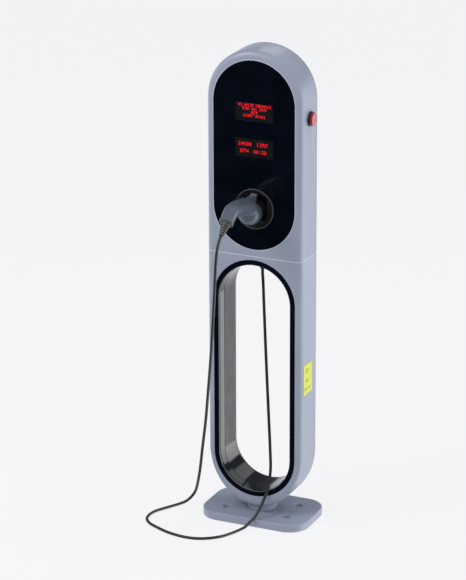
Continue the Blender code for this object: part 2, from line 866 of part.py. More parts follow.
def build_inner_lead():
    """The cable's fixed run inside, from the gland up behind the holster to the contactor."""
    start = LOOP_TOP_CENTRE + LOOP_CLEAR_HALF_WIDTH + 0.024 + GAP
    route = [
        (0.0, 0.0, start),
        (0.0, 0.001, 0.830),
        (0.0, 0.010, 0.870),
        (0.0, 0.018, 0.920),
        (0.0, 0.020, 0.980),
        (0.0, 0.018, 1.060),
        (0.0, 0.012, 1.130),
        (0.0, 0.008, RAIL_Z - 0.0425 - GAP),
    ]
    points = smooth_route([Vector(point) for point in route], 0.028)
    finish(add_tube("inner_charging_lead", points, CABLE_RADIUS, 2), black_rubber())


def build_inlet_gland():
    """The gland for the supply cable in the bottom of the lower housing, open through its middle."""
    profile = [
        (0.0085, BODY_BOTTOM + 0.0240),
        (0.0120, BODY_BOTTOM + 0.0240),
        (0.0120, BODY_BOTTOM - 0.0030),
        (0.0155, BODY_BOTTOM - 0.0030),
        (0.0155, BODY_BOTTOM - 0.0110),
        (0.0085, BODY_BOTTOM - 0.0110),
    ]
    finish(add_turned("inlet_gland", profile, (0, 0, 0), sides=24), dark_plastic())


# ---- stop button and label -------------------------------------------------------------------
def build_stop_button():
    place = (HALF_WIDTH, BUTTON_Y, BUTTON_Z)
    outward = (1, 0, 0)
    bore = BUTTON_STEM_RADIUS + 0.0005
    profile = [
        (BUTTON_CAP_RADIUS + 0.0006, 0.0060),
        (BUTTON_COLLAR_RADIUS - 0.0010, 0.0060),
        (BUTTON_COLLAR_RADIUS, 0.0042),
        (BUTTON_COLLAR_RADIUS, GAP),
        (BUTTON_BARREL_RADIUS, GAP),
        (BUTTON_BARREL_RADIUS, -0.0300),
        (bore, -0.0300),
        (bore, 0.0016),
        (BUTTON_CAP_RADIUS + 0.0006, 0.0016),
    ]
    collar = add_turned("stop_button_collar", profile, place, outward, sides=28)
    finish(collar, dark_plastic())
    profile = [
        (0.0, 0.0145),
        (BUTTON_CAP_RADIUS - 0.0040, 0.0143),
        (BUTTON_CAP_RADIUS - 0.0012, 0.0138),
        (BUTTON_CAP_RADIUS, 0.0124),
        (BUTTON_CAP_RADIUS, 0.0066),
        (BUTTON_STEM_RADIUS, 0.0066),
        (BUTTON_STEM_RADIUS, -0.0255),
        (0.0, -0.0255),
    ]
    cap = add_turned("stop_button_cap", profile, place, outward, sides=28)
    finish(cap, material("signal_red", (0.42, 0.02, 0.015), 0.25))
    profile = [
        (BUTTON_BARREL_RADIUS + GAP, -WALL - GAP),
        (0.0150, -WALL - GAP),
        (0.0150, -0.0085),
        (BUTTON_BARREL_RADIUS + GAP, -0.0085),
    ]
    nut = add_turned("stop_button_lock_nut", profile, place, outward, sides=28)
    finish(nut, dark_plastic())
    block = add_box(
        "stop_contact_block", (0.018, 0.030, 0.034), (HALF_WIDTH - 0.0393, BUTTON_Y, BUTTON_Z)
    )
    add_bevel(block, 0.001, segments=1)
    finish(block, dark_plastic())


def build_label():
    thickness = 0.0006
    centre_y, centre_z = LABEL_CENTRE
    centre = (HALF_WIDTH + GAP + thickness / 2, centre_y, centre_z)
    label = add_box("side_label", (thickness, LABEL_SIZE_Y, LABEL_SIZE_Z), centre)
    finish(label, material("label_yellow", (0.72, 0.74, 0.05), 0.5))


# ---- what the upper housing holds ------------------------------------------------------------
def build_chassis():
    plate = add_box("chassis_plate", (0.190, CHASSIS_THICKNESS, 0.315), (0, CHASSIS_Y, 1.1775))
    add_bevel(plate, 0.0005, segments=1)
    finish(plate, steel())
    front = FASCIA_Y + FASCIA_THICKNESS + GAP
    rear = CHASSIS_Y - CHASSIS_THICKNESS / 2 - GAP
    places = [(-0.085, 1.035), (0.085, 1.035), (-0.085, 1.320), (0.085, 1.320)]
    for index, (x, z) in enumerate(places):
        centre = (x, (front + rear) / 2, z)
        post = add_cylinder(f"standoff_{index + 1}", 0.005, rear - front, centre, (0, 1, 0), 12)
        finish(post, steel())
    rail = add_box("din_rail", (0.165, 0.0075, 0.035), (0, BOARD_Y + GAP + 0.00375, RAIL_Z))
    groove = add_box("cut_rail", (0.2, 0.0065, 0.025), (0, BOARD_Y + 0.0058, RAIL_Z), CUTTERS)
    boolean(rail, hide_cutter(groove))
    finish(rail, steel())


def device(name, width, height, depth, x, z, surface, nose_height):
    """A rail-mounted device: a block with a raised, narrower nose towards the rear cover."""
    back = BOARD_Y + 2 * GAP + 0.0075
    body = add_box(name, (width, depth, height), (x, back + depth / 2, z))
    nose = add_box(
        "cut_" + name + "_nose", (width, 0.012, nose_height), (x, back + depth, z), CUTTERS
    )
    boolean(body, hide_cutter(nose), "UNION")
    return finish(body, surface)


def build_devices():
    rcbo = device("rcbo", 0.036, 0.085, 0.052, -0.058, RAIL_Z, device_grey(), 0.045)
    pivot = Vector((-0.058, BOARD_Y + 2 * GAP + 0.0075 + 0.052, RAIL_Z))
    slot_place = (pivot.x, pivot.y + 0.002, pivot.z)
    slot = add_box("cut_rcbo_slot", (0.010, 0.016, 0.022), slot_place, CUTTERS)
    boolean(rcbo, hide_cutter(slot))
    build_toggle(pivot)
    device("contactor", 0.045, 0.085, 0.050, 0.0, RAIL_Z, dark_plastic(), 0.050)
    device("energy_meter", 0.036, 0.090, 0.050, 0.052, RAIL_Z - 0.001, device_grey(), 0.050)

    back = BOARD_Y + GAP
    supply = add_box("power_supply", (0.070, 0.036, 0.095), (-0.052, back + 0.018, 1.125))
    add_bevel(supply, 0.0015, segments=1)
    finish(supply, steel())
    terminal = add_box("terminal_block", (0.080, 0.030, 0.022), (-0.047, back + 0.015, 1.040))
    for index in range(5):
        place = (-0.047 + 0.0155 * (index - 2), back + 0.030, 1.040)
        well = add_box(f"cut_terminal_{index}", (0.009, 0.012, 0.012), place, CUTTERS)
        boolean(terminal, hide_cutter(well))
    finish(terminal, device_grey())
    build_controller(back)


def build_toggle(pivot):
    """The breaker's lever on its round hub, tilted up in the slot of the breaker's nose."""
    hub = add_cylinder("rcbo_toggle", 0.0045, 0.009, (0, 0, 0), (1, 0, 0), 20)
    hub.location = pivot
    tilt = Matrix.Rotation(math.radians(TOGGLE_TILT), 3, "X")
    lever = add_box("cut_toggle_lever", (0.008, 0.013, 0.005), (0, 0, 0), CUTTERS)
    lever.rotation_euler = tilt.to_euler()
    lever.location = pivot + tilt @ Vector((0.0, 0.0070, 0.0))
    boolean(hub, hide_cutter(lever), "UNION")
    finish(hub, material("toggle_blue", (0.02, 0.05, 0.16), 0.4))


def build_controller(back):
    """The control board with its relay, heat sink and processor on one circuit board."""
    centre_x = 0.052
    board = add_box("controller_board", (0.085, 0.0016, 0.100), (centre_x, back + 0.0008, 1.110))
    parts = [
        (0.026, 0.016, 0.020, -0.022, 0.030),
        (0.030, 0.012, 0.030, 0.018, 0.022),
        (0.018, 0.004, 0.018, -0.018, -0.004),
        (0.070, 0.010, 0.010, 0.0, -0.038),
    ]
    for index, (width, depth, height, x, z) in enumerate(parts):
        size = (width, depth, height)
        place = (centre_x + x, back + 0.0010 + depth / 2, 1.110 + z)
        chip = add_box(f"cut_board_part_{index}", size, place, CUTTERS)
        boolean(board, hide_cutter(chip), "UNION")
    finish(board, material("circuit_green", (0.01, 0.10, 0.05), 0.4))


def build_all():
    build_base()
    build_upper_housing()
    build_lower_housing()
    build_rear_covers()
    build_loop_liner()
    build_bulkhead()
    build_fascia()
    build_holster()
    build_connector()
    build_gland()
    build_cable()
    build_inner_lead()
    build_inlet_gland()
    build_stop_button()
    build_label()
    build_chassis()
    build_devices()


build_all()
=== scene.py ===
"""Looks of the EV charging post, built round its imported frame. Metres, +Z up, -Y is the front."""

import json
import math

import bmesh
import bpy
from mathutils import Matrix, Vector


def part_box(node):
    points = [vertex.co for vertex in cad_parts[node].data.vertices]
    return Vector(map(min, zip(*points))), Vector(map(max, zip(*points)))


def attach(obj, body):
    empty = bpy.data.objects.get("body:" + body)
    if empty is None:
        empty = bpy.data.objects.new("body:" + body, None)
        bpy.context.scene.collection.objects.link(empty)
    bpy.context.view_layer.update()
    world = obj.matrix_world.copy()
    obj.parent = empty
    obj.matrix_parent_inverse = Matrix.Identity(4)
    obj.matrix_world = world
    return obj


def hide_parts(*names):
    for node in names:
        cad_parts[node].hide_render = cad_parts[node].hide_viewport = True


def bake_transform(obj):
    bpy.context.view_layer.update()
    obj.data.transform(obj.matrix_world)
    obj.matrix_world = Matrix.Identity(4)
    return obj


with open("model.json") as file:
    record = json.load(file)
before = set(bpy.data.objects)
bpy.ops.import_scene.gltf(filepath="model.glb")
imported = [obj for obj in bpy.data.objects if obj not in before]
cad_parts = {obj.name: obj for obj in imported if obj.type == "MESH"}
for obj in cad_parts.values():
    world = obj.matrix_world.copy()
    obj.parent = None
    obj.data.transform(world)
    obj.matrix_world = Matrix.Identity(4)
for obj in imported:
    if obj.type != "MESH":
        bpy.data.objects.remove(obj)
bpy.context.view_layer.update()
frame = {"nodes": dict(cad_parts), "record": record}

# ---- places and sizes, read from the frame
UPPER_LOW, UPPER_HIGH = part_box("upper_housing")
LOWER_LOW, LOWER_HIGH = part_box("lower_housing")
COVER_LOW, COVER_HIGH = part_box("upper_rear_cover")
HALF_WIDTH = UPPER_HIGH.x
FRONT_Y = UPPER_LOW.y
REAR_Y = COVER_HIGH.y
COVER_FRONT_Y = COVER_LOW.y
BODY_TOP_CENTRE = UPPER_HIGH.z - HALF_WIDTH
BODY_BASE_CENTRE = 0.2130
BODY_BASE_REACH = BODY_BASE_CENTRE - LOWER_LOW.z
SEAM_Z = (UPPER_LOW.z + LOWER_HIGH.z) / 2
SEAM_GAP = UPPER_LOW.z - LOWER_HIGH.z
EDGE_RADIUS = 0.016
WALL = 0.003
GAP = 0.0003
PLATE_CORNER = 0.060
PLATE_RIM = 0.0028
ANCHOR_RADIUS = 0.0115
DUCT_RADIUS = 0.020

FASCIA_LOW, FASCIA_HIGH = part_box("fascia_panel")
FASCIA_HALF_WIDTH = FASCIA_HIGH.x
FASCIA_Y = FASCIA_LOW.y
FASCIA_TOP_CENTRE = FASCIA_HIGH.z - FASCIA_HALF_WIDTH
FASCIA_BOTTOM_CENTRE = FASCIA_LOW.z + FASCIA_HALF_WIDTH

LINER_LOW, LINER_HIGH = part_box("loop_liner")
LOOP_HALF_WIDTH = LINER_HIGH.x
LOOP_TOP_CENTRE = LINER_HIGH.z - LOOP_HALF_WIDTH
LOOP_BOTTOM_CENTRE = LINER_LOW.z + LOOP_HALF_WIDTH

BEZEL_LOW, BEZEL_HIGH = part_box("holster_bezel")
HOLSTER_Z = (BEZEL_LOW.z + BEZEL_HIGH.z) / 2
BEZEL_RADIUS = BEZEL_HIGH.x
PLATE_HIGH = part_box("base_plate")[1]
CAP_LOW, CAP_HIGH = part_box("stop_button_cap")
BUTTON_Y = (CAP_LOW.y + CAP_HIGH.y) / 2
BUTTON_Z = (CAP_LOW.z + CAP_HIGH.z) / 2

CABLE_RADIUS = 0.0042
CABLE_ROUTE = [
    (0.000, 0.000, 0.7517), (0.000, 0.000, 0.738), (0.002, -0.001, 0.717),
    (0.006, -0.005, 0.659), (0.020, -0.020, 0.485), (0.036, -0.037, 0.310),
    (0.045, -0.048, 0.223), (0.0495, -0.056, 0.165), (0.044, -0.064, 0.106),
    (0.034, -0.075, 0.071), (0.029, -0.086, 0.053), (0.021, -0.102, 0.033),
    (0.011, -0.117, 0.019), (0.003, -0.130, 0.0095), (-0.007, -0.145, 0.0048),
    (-0.021, -0.182, 0.0048), (-0.039, -0.213, 0.0048), (-0.080, -0.245, 0.0048),
    (-0.121, -0.255, 0.0048), (-0.180, -0.247, 0.0048), (-0.233, -0.225, 0.0048),
    (-0.268, -0.204, 0.0048), (-0.288, -0.174, 0.0048), (-0.288, -0.129, 0.0048),
    (-0.268, -0.088, 0.0048), (-0.243, -0.042, 0.0048), (-0.233, -0.028, 0.008),
    (-0.222, -0.0185, 0.018), (-0.212, -0.0155, 0.032), (-0.204, -0.019, 0.047),
    (-0.173, -0.058, 0.128), (-0.148, -0.095, 0.208), (-0.113, -0.144, 0.325),
    (-0.084, -0.188, 0.437), (-0.057, -0.229, 0.546), (-0.034, -0.265, 0.650),
    (-0.016, -0.292, 0.750), (-0.007, -0.3045, 0.813), (-0.002, -0.308, 0.873),
    (-0.001, -0.301, 0.904),
]
BOOT_SLOPE = math.radians(38.0)
BOOT_AXIS = Vector((0.0, -math.cos(BOOT_SLOPE), -math.sin(BOOT_SLOPE)))
ARM_END = Vector((0.0, FASCIA_Y - 0.186, HOLSTER_Z + 0.0158))
BOOT_LENGTH = 0.045


# ---- camera
def make_camera():
    data = bpy.data.cameras.new("camera")
    data.lens = 194.1
    data.sensor_width = 36.0
    data.clip_end = 60.0
    camera = bpy.data.objects.new("camera", data)
    turn = Matrix.Rotation(math.radians(24.55), 4, "Z")
    tilt = Matrix.Rotation(math.radians(90.0 - 19.51), 4, "X")
    roll = Matrix.Rotation(math.radians(-0.2), 4, "Z")
    camera.matrix_world = Matrix.Translation((3.3896, -7.6223, 3.6432)) @ turn @ tilt @ roll
    bpy.context.scene.collection.objects.link(camera)
    bpy.context.scene.camera = camera


# ---- mesh helpers
def dress(mesh, surface):
    mesh.materials.clear()
    mesh.materials.append(surface)


def smooth(mesh, angle):
    """Smooth shading, but for the edges sharper than an angle in degrees."""
    mesh.shade_smooth()
    mesh.set_sharp_from_angle(angle=math.radians(angle))


def add_object(name, mesh, slot=None, surface=None, body="post"):
    """Puts a mesh in the scene as a piece riding on a body, with its material."""
    made = bpy.data.objects.new(name, mesh)
    bpy.context.scene.collection.objects.link(made)
    if surface:
        dress(mesh, surface)
    if body:
        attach(made, body)
    return made


def finish_mesh(name, bm, smooth_angle=35.0):
    """A mesh from a bmesh, welded, facing out and smooth except at its sharp edges."""
    bmesh.ops.remove_doubles(bm, verts=bm.verts, dist=0.000002)
    bmesh.ops.recalc_face_normals(bm, faces=bm.faces)
    mesh = bpy.data.meshes.new(name)
    bm.to_mesh(mesh)
    bm.free()
    smooth(mesh, smooth_angle)
    return mesh


def add_piece(name, bm, smooth_angle=35.0, **looks):
    return add_object(name, finish_mesh(name, bm, smooth_angle), **looks)


def bridge(bm, first, second):
    count = len(first)
    for index in range(count):
        after = (index + 1) % count
        quad = (first[index], first[after], second[after], second[index])
        bm.faces.new(quad)


def rings_bmesh(rings, closed=False, cap_first=False, cap_last=False):
    """A skin over a row of rings with the same number of points each."""
    bm = bmesh.new()
    loops = [[bm.verts.new(point) for point in ring] for ring in rings]
    for first, second in zip(loops, loops[1:]):
        bridge(bm, first, second)
    if closed:
        bridge(bm, loops[-1], loops[0])
    if cap_first:
        bm.faces.new(loops[0])
    if cap_last:
        bm.faces.new(loops[-1])
    return bm


def rounded(points, radius, steps=5, closed=True):
    """The polygon with each corner replaced by a smooth curve; radius may be one per point."""
    count = len(points)
    radii = radius if isinstance(radius, (list, tuple)) else [radius] * count
    result = []
    for index, (point, size) in enumerate(zip(points, radii)):
        corner = Vector(point)
        if size <= 0 or (not closed and index in (0, count - 1)):
            result.append(tuple(corner))
            continue
        back = Vector(points[index - 1]) - corner
        ahead = Vector(points[(index + 1) % count]) - corner
        start = corner + back.normalized() * min(size, back.length * 0.49)
        end = corner + ahead.normalized() * min(size, ahead.length * 0.49)
        for step in range(steps + 1):
            t = step / steps
            result.append(tuple(start * (1 - t) ** 2 + corner * 2 * t * (1 - t) + end * t * t))
    return result


def turned_bmesh(profile, place, axis, sides=96, closed=True):
    """A profile of (radius, height) points turned round an axis; a closed profile is a ring."""
    turn = Vector((0, 0, 1)).rotation_difference(Vector(axis).normalized()).to_matrix()
    rings = []
    for radius, height in profile:
        ring = []
        for step in range(sides):
            angle = 2 * math.pi * step / sides
            point = Vector((radius * math.cos(angle), radius * math.sin(angle), height))
            ring.append(Vector(place) + turn @ point)
        rings.append(ring)
    return rings_bmesh(rings, closed=closed)


def turned(name, profile, place, axis, sides=96, closed=True, **looks):
    return add_piece(name, turned_bmesh(profile, place, axis, sides, closed), **looks)


def arc_points(centre, radius, start, sweep, steps):
    points = []
    for step in range(steps + 1):
        angle = math.radians(start + sweep * step / steps)
        points.append((centre[0] + radius * math.cos(angle), centre[1] + radius * math.sin(angle)))
    return points


def stadium(half, top, bottom, steps=40):
    """An upright outline of two half circles and straight sides, as (x, z) points."""
    outline = arc_points((0.0, top), half, 0.0, 180.0, steps)
    return outline + arc_points((0.0, bottom), half, 180.0, 180.0, steps)


def rounded_rectangle(half_x, half_z, corner, steps=8, centre=(0.0, 0.0)):
    outline = []
    for sign_x, sign_z, start in ((1, 1, 0), (-1, 1, 90), (-1, -1, 180), (1, -1, 270)):
        middle = (centre[0] + sign_x * (half_x - corner), centre[1] + sign_z * (half_z - corner))
        outline += arc_points(middle, corner, start, 90.0, steps)
    return outline


def circle(centre, radius, steps=64):
    return arc_points(centre, radius, 0.0, 360.0 * (steps - 1) / steps, steps - 1)


def plate_bmesh(outline, holes, low, high, edge, hole_edge, to_world, edge_steps=4):
    """A flat plate with rounded rims. The outline and the holes are functions of an inset, and
    to_world takes (u, v, w) to the frame, with w the height between low and high."""
    bm = bmesh.new()
    flats = {low: [], high: []}
    for shape, sign, rim in [(outline, 1, edge)] + [(hole, -1, hole_edge) for hole in holes]:
        steps = edge_steps if rim > 0 else 1
        sections = []
        for side, face in ((-1, low), (1, high)):
            part = []
            for step in range(steps + 1):
                angle = math.pi / 2 * step / steps
                inset = rim * (1 - math.sin(angle)) * sign
                part.append((inset, face - side * rim * (1 - math.cos(angle))))
            sections += part if side < 0 else part[::-1]
        loops = []
        for inset, height in sections:
            loops.append([bm.verts.new(to_world(u, v, height)) for u, v in shape(inset)])
        for first, second in zip(loops, loops[1:]):
            bridge(bm, first, second)
        flats[low].append(loops[0])
        flats[high].append(loops[-1])
    for loops in flats.values():
        edges = []
        for loop in loops:
            for index, vertex in enumerate(loop):
                edges.append(bm.edges.get((vertex, loop[(index + 1) % len(loop)])))
        bmesh.ops.triangle_fill(bm, use_beauty=True, use_dissolve=False, edges=edges)
    return bm


def tube_bmesh(points, radius_of, sides, twist=None):
    """A tube along points, its ends closed. radius_of gives the radius at each index, and twist
    a factor on it at an angle round the tube."""
    bm = bmesh.new()
    across = None
    loops = []
    for index, point in enumerate(points):
        before = points[max(0, index - 1)]
        after = points[min(len(points) - 1, index + 1)]
        along = (after - before).normalized()
        if across is None:
            across = along.orthogonal().normalized()
        across = (across - along * across.dot(along)).normalized()
        up = along.cross(across)
        loop = []
        for step in range(sides):
            angle = 2 * math.pi * step / sides
            size = radius_of(index) * (twist(index, angle) if twist else 1.0)
            outward = across * math.cos(angle) + up * math.sin(angle)
            loop.append(bm.verts.new(point + outward * size))
        loops.append(loop)
    for first, second in zip(loops, loops[1:]):
        bridge(bm, first, second)
    bm.faces.new(loops[0])
    bm.faces.new(loops[-1])
    return bm


def box_bmesh(low, high):
    bm = bmesh.new()
    bmesh.ops.create_cube(bm, size=1.0)
    size = Vector(high) - Vector(low)
    centre = (Vector(high) + Vector(low)) / 2
    placed = Matrix.Translation(centre) @ Matrix.Diagonal((*size, 1.0))
    bmesh.ops.transform(bm, matrix=placed, verts=bm.verts)
    return bm


def join_bmesh(target, source):
    """Adds source's geometry to target."""
    mesh = bpy.data.meshes.new("joined")
    source.to_mesh(mesh)
    source.free()
    target.from_mesh(mesh)
    bpy.data.meshes.remove(mesh)


def rounded_box(name, low, high, radius, **looks):
    piece = add_piece(name, box_bmesh(low, high), **looks)
    add_bevel(piece, radius, 3, 30.0)
    return piece


def add_bevel(piece, width, segments, angle):
    modifier = piece.modifiers.new("bevel", "BEVEL")
    modifier.width = width
    modifier.segments = segments
    modifier.limit_method = "ANGLE"
    modifier.angle_limit = math.radians(angle)
    modifier.harden_normals = False


def add_wall(piece, thickness, even):
    """Gives a skin its thickness, inwards."""
    wall = piece.modifiers.new("wall", "SOLIDIFY")
    wall.thickness = thickness
    wall.offset = -1.0
    wall.use_even_offset = even


def apply_modifiers(piece):
    """Turns the piece's modifiers into its mesh."""
    graph = bpy.context.evaluated_depsgraph_get()
    done = bpy.data.meshes.new_from_object(piece.evaluated_get(graph))
    piece.modifiers.clear()
    piece.data = done
    return piece


# ---- materials
def link(tree, source, output, target, socket):
    tree.links.new(source.outputs[output], target.inputs[socket])


def node(tree, kind, **values):
    made = tree.nodes.new(kind)
    for name, value in values.items():
        setattr(made, name, value)
    return made


def noise_node(tree, coordinates, scale, detail):
    made = node(tree, "ShaderNodeTexNoise")
    made.inputs["Scale"].default_value = scale
    made.inputs["Detail"].default_value = detail
    link(tree, coordinates, "Object", made, "Vector")
    return made


def map_range(tree, source, output, low, high, start=0.3, end=0.7):
    made = node(tree, "ShaderNodeMapRange")
    made.inputs["From Min"].default_value = start
    made.inputs["From Max"].default_value = end
    made.inputs["To Min"].default_value = low
    made.inputs["To Max"].default_value = high
    link(tree, source, output, made, "Value")
    return made


def layer(tree, factor, first, second):
    """Mixes two colours, each a plain colour or another layer."""
    made = node(tree, "ShaderNodeMix", data_type="RGBA")
    link(tree, factor, "Result", made, "Factor")
    for socket, colour in (("A", first), ("B", second)):
        if isinstance(colour, tuple):
            made.inputs[socket].default_value = (*colour, 1.0)
        else:
            link(tree, colour, "Result", made, socket)
    return made


def material(name, colour, roughness, metallic=0.0, shift=0.08, patch=14.0, rough_shift=0.05,
             grain=900.0, bump=0.03, wear=0.0, specular=0.5, coat=0.0, streaks=None):
    """Colour and roughness that vary in soft patches, a fine moulded or sprayed grain as bump,
    and edges that are worn a little lighter."""
    made = bpy.data.materials.new(name)
    made.use_nodes = True
    tree = made.node_tree
    shader = tree.nodes["Principled BSDF"]
    shader.inputs["Metallic"].default_value = metallic
    shader.inputs["Specular IOR Level"].default_value = specular
    shader.inputs["Coat Weight"].default_value = coat
    shader.inputs["Coat Roughness"].default_value = 0.05
    coordinates = node(tree, "ShaderNodeTexCoord")
    patches = noise_node(tree, coordinates, patch, 4.0)
    fine = noise_node(tree, coordinates, grain, 2.0)
    if streaks:
        stretch = node(tree, "ShaderNodeMapping")
        stretch.inputs["Scale"].default_value = streaks
        link(tree, coordinates, "Object", stretch, "Vector")
        link(tree, stretch, "Vector", fine, "Vector")

    darker = tuple(c * (1 - shift) for c in colour)
    lighter = tuple(min(1.0, c * (1 + shift)) for c in colour)
    tint = layer(tree, map_range(tree, patches, "Fac", 0.0, 1.0), darker, lighter)
    if wear > 0:
        geometry = node(tree, "ShaderNodeNewGeometry")
        edges = map_range(tree, geometry, "Pointiness", 0.0, wear, 0.52, 0.60)
        tint = layer(tree, edges, tint, tuple(min(1.0, c * 1.7 + 0.02) for c in colour))
    link(tree, tint, "Result", shader, "Base Color")

    low, high = max(0.02, roughness - rough_shift), min(1.0, roughness + rough_shift)
    link(tree, map_range(tree, patches, "Fac", low, high), "Result", shader, "Roughness")
    relief = node(tree, "ShaderNodeBump")
    relief.inputs["Strength"].default_value = bump
    relief.inputs["Distance"].default_value = 0.0004
    link(tree, fine, "Fac", relief, "Height")
    link(tree, relief, "Normal", shader, "Normal")
    return made


def lit_material(name, colour, strength):
    """A lit display dot: its glow varies a little from dot to dot."""
    made = material(name, colour, 0.4)
    tree = made.node_tree
    shader = tree.nodes["Principled BSDF"]
    coordinates = node(tree, "ShaderNodeTexCoord")
    cells = noise_node(tree, coordinates, 350.0, 0.0)
    dimmer = tuple(c * 0.75 for c in colour)
    glow = layer(tree, map_range(tree, cells, "Fac", 0.0, 1.0), dimmer, colour)
    link(tree, glow, "Result", shader, "Emission Color")
    shader.inputs["Emission Strength"].default_value = strength
    return made


LOOKS = {
    "body_paint": dict(colour=(0.300, 0.335, 0.425), roughness=0.36, shift=0.02, patch=9.0,
                       rough_shift=0.04, grain=1500.0, bump=0.02, wear=0.25),
    "gloss_black": dict(colour=(0.0016, 0.0030, 0.0065), roughness=0.07, shift=0.25, patch=20.0,
                        rough_shift=0.03, grain=260.0, bump=0.004, specular=0.22),
    "liner_black": dict(colour=(0.0020, 0.0035, 0.0070), roughness=0.10, shift=0.25, patch=20.0,
                        rough_shift=0.04, grain=260.0, bump=0.004),
    "display_window": dict(colour=(0.0078, 0.0082, 0.0095), roughness=0.22, shift=0.15,
                           patch=30.0, grain=2500.0, bump=0.01, specular=0.2),
    "dark_plastic": dict(colour=(0.012, 0.012, 0.013), roughness=0.42, shift=0.2, patch=60.0,
                         grain=2200.0, bump=0.12, specular=0.4),
    "connector_grey": dict(colour=(0.088, 0.112, 0.145), roughness=0.34, shift=0.05, patch=45.0,
                           grain=1800.0, bump=0.05, wear=0.15),
    # connector flank: darker copy of the connector grey, painted shade on the head's side
    "connector_painted_shade": dict(colour=(0.058, 0.074, 0.094), roughness=0.40, patch=45.0,
                           grain=1800.0, bump=0.06),
    "contact_silver": dict(colour=(0.75, 0.73, 0.68), roughness=0.22, metallic=1.0, patch=150.0),
    "boot_rubber": dict(colour=(0.110, 0.106, 0.101), roughness=0.55, shift=0.15, patch=90.0,
                        grain=2500.0, bump=0.15, wear=0.5, specular=0.4),
    "cable_rubber": dict(colour=(0.020, 0.021, 0.023), roughness=0.42, shift=0.15, patch=60.0,
                         grain=1600.0, bump=0.10),
    "signal_red": dict(colour=(0.42, 0.010, 0.012), roughness=0.22, patch=60.0,
                       bump=0.02, coat=0.4),
    "label_yellow": dict(colour=(0.70, 0.73, 0.055), roughness=0.45, shift=0.03, patch=40.0,
                         grain=1500.0),
    "label_ink": dict(colour=(0.06, 0.06, 0.03), roughness=0.55, shift=0.2, patch=300.0),
    "steel": dict(colour=(0.48, 0.49, 0.51), roughness=0.32, metallic=1.0, shift=0.06,
                  patch=30.0, grain=1200.0, bump=0.12, streaks=(1.0, 1.0, 0.04)),
    "device_grey": dict(colour=(0.52, 0.53, 0.53), roughness=0.5, shift=0.03, patch=50.0,
                        grain=2200.0, bump=0.10, wear=0.2),
    # boot core: darker copy of the boot rubber, painted shade between the ribs
    "rubber_painted_shade": dict(colour=(0.012, 0.012, 0.013), roughness=0.6, shift=0.2, patch=90.0),
    # liner step line: grey on the gloss black trim, a painted highlight
    "liner_step_highlight": dict(colour=(0.065, 0.072, 0.088), roughness=0.25, shift=0.1, patch=20.0),
    # fascia rim: lighter than the body paint, a painted highlight on the rounded edge
    "fascia_edge_painted_highlight": dict(colour=(0.42, 0.46, 0.56), roughness=0.18, shift=0.03, patch=9.0,
                       specular=1.0),
    # seam strip: paler than the body paint, a painted highlight along the seam
    "seam_painted_highlight": dict(colour=(0.52, 0.56, 0.66), roughness=0.40, shift=0.03, patch=9.0),
    # holster rim: dark grey on a gloss black part, a painted highlight on the ring
    "holster_rim_painted_highlight": dict(colour=(0.070, 0.072, 0.080), roughness=0.20, shift=0.15, patch=30.0,
                        bump=0.01, specular=0.6),
    # latch grey: also painted on the holster ledge as a highlight
    "latch_grey_and_ledge_highlight": dict(colour=(0.22, 0.21, 0.20), roughness=0.45, shift=0.05, patch=90.0,
                       grain=2200.0, bump=0.08),
    "toggle_blue": dict(colour=(0.02, 0.05, 0.16), roughness=0.3, patch=90.0),
    "circuit_green": dict(colour=(0.01, 0.10, 0.05), roughness=0.35, shift=0.25, patch=260.0,
                          bump=0.2),
}
SURFACES = {name: material(name, **look) for name, look in LOOKS.items()}
SURFACES["led_red"] = lit_material("led_red", (1.0, 0.0, 0.012), 1.6)


def looks(name, slot=None, body="post"):
    return {"surface": SURFACES[name], "slot": slot or name, "body": body}


# ---- the cable
def spline_point(controls, knots, at):
    """One point of a centripetal Catmull-Rom span, by repeated interpolation."""
    level = list(controls)
    for reach in (1, 2, 3):
        following = []
        for index in range(len(level) - 1):
            low = knots[index] if reach < 3 else knots[1]
            high = knots[index + reach] if reach < 3 else knots[2]
            share = (at - low) / (high - low)
            following.append(level[index] + (level[index + 1] - level[index]) * share)
        level = following
    return level[0]


def smooth_route(route, substeps=8):
    """Points on a smooth curve through the route's points."""
    points = []
    padded = [2 * route[0] - route[1]] + route + [2 * route[-1] - route[-2]]
    for index in range(1, len(padded) - 2):
        controls = padded[index - 1:index + 3]
        knots = [0.0]
        for first, second in zip(controls, controls[1:]):
            knots.append(knots[-1] + math.sqrt((second - first).length))
        for step in range(substeps):
            at = knots[1] + (knots[2] - knots[1]) * step / substeps
            points.append(spline_point(controls, knots, at))
    points.append(route[-1])
    return points


def make_cable():
    tip = ARM_END + BOOT_AXIS * (BOOT_LENGTH + 2 * GAP)
    route = [Vector(point) for point in CABLE_ROUTE] + [tip + BOOT_AXIS * 0.012, tip]
    points = smooth_route(route)
    bm = tube_bmesh(points, lambda index: CABLE_RADIUS, 20)
    mesh = finish_mesh("cable_jacket", bm, 60.0)
    cable = add_object("cable_jacket", mesh, "cable_rubber", SURFACES["cable_rubber"], None)
    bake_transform(cable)
    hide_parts("charging_cable")
    return cable, points


make_camera()
CABLE, CABLE_POINTS = make_cable()


# ---- housings and covers
def body_outline(inset=0.0):
    """The body's outline: a round top and, below, half an ellipse."""
    outline = stadium(HALF_WIDTH - inset, BODY_TOP_CENTRE, BODY_BASE_CENTRE)
    stretch = (BODY_BASE_REACH - inset) / (HALF_WIDTH - inset)
    return [(x, min(z, BODY_BASE_CENTRE + (z - BODY_BASE_CENTRE) * stretch)) for x, z in outline]


def fascia_outline(inset, steps=40):
    half = FASCIA_HALF_WIDTH - inset
    return stadium(half, FASCIA_TOP_CENTRE, FASCIA_BOTTOM_CENTRE, steps)


def loop_outline(inset, steps=40):
    return stadium(LOOP_HALF_WIDTH - inset, LOOP_TOP_CENTRE, LOOP_BOTTOM_CENTRE, steps)


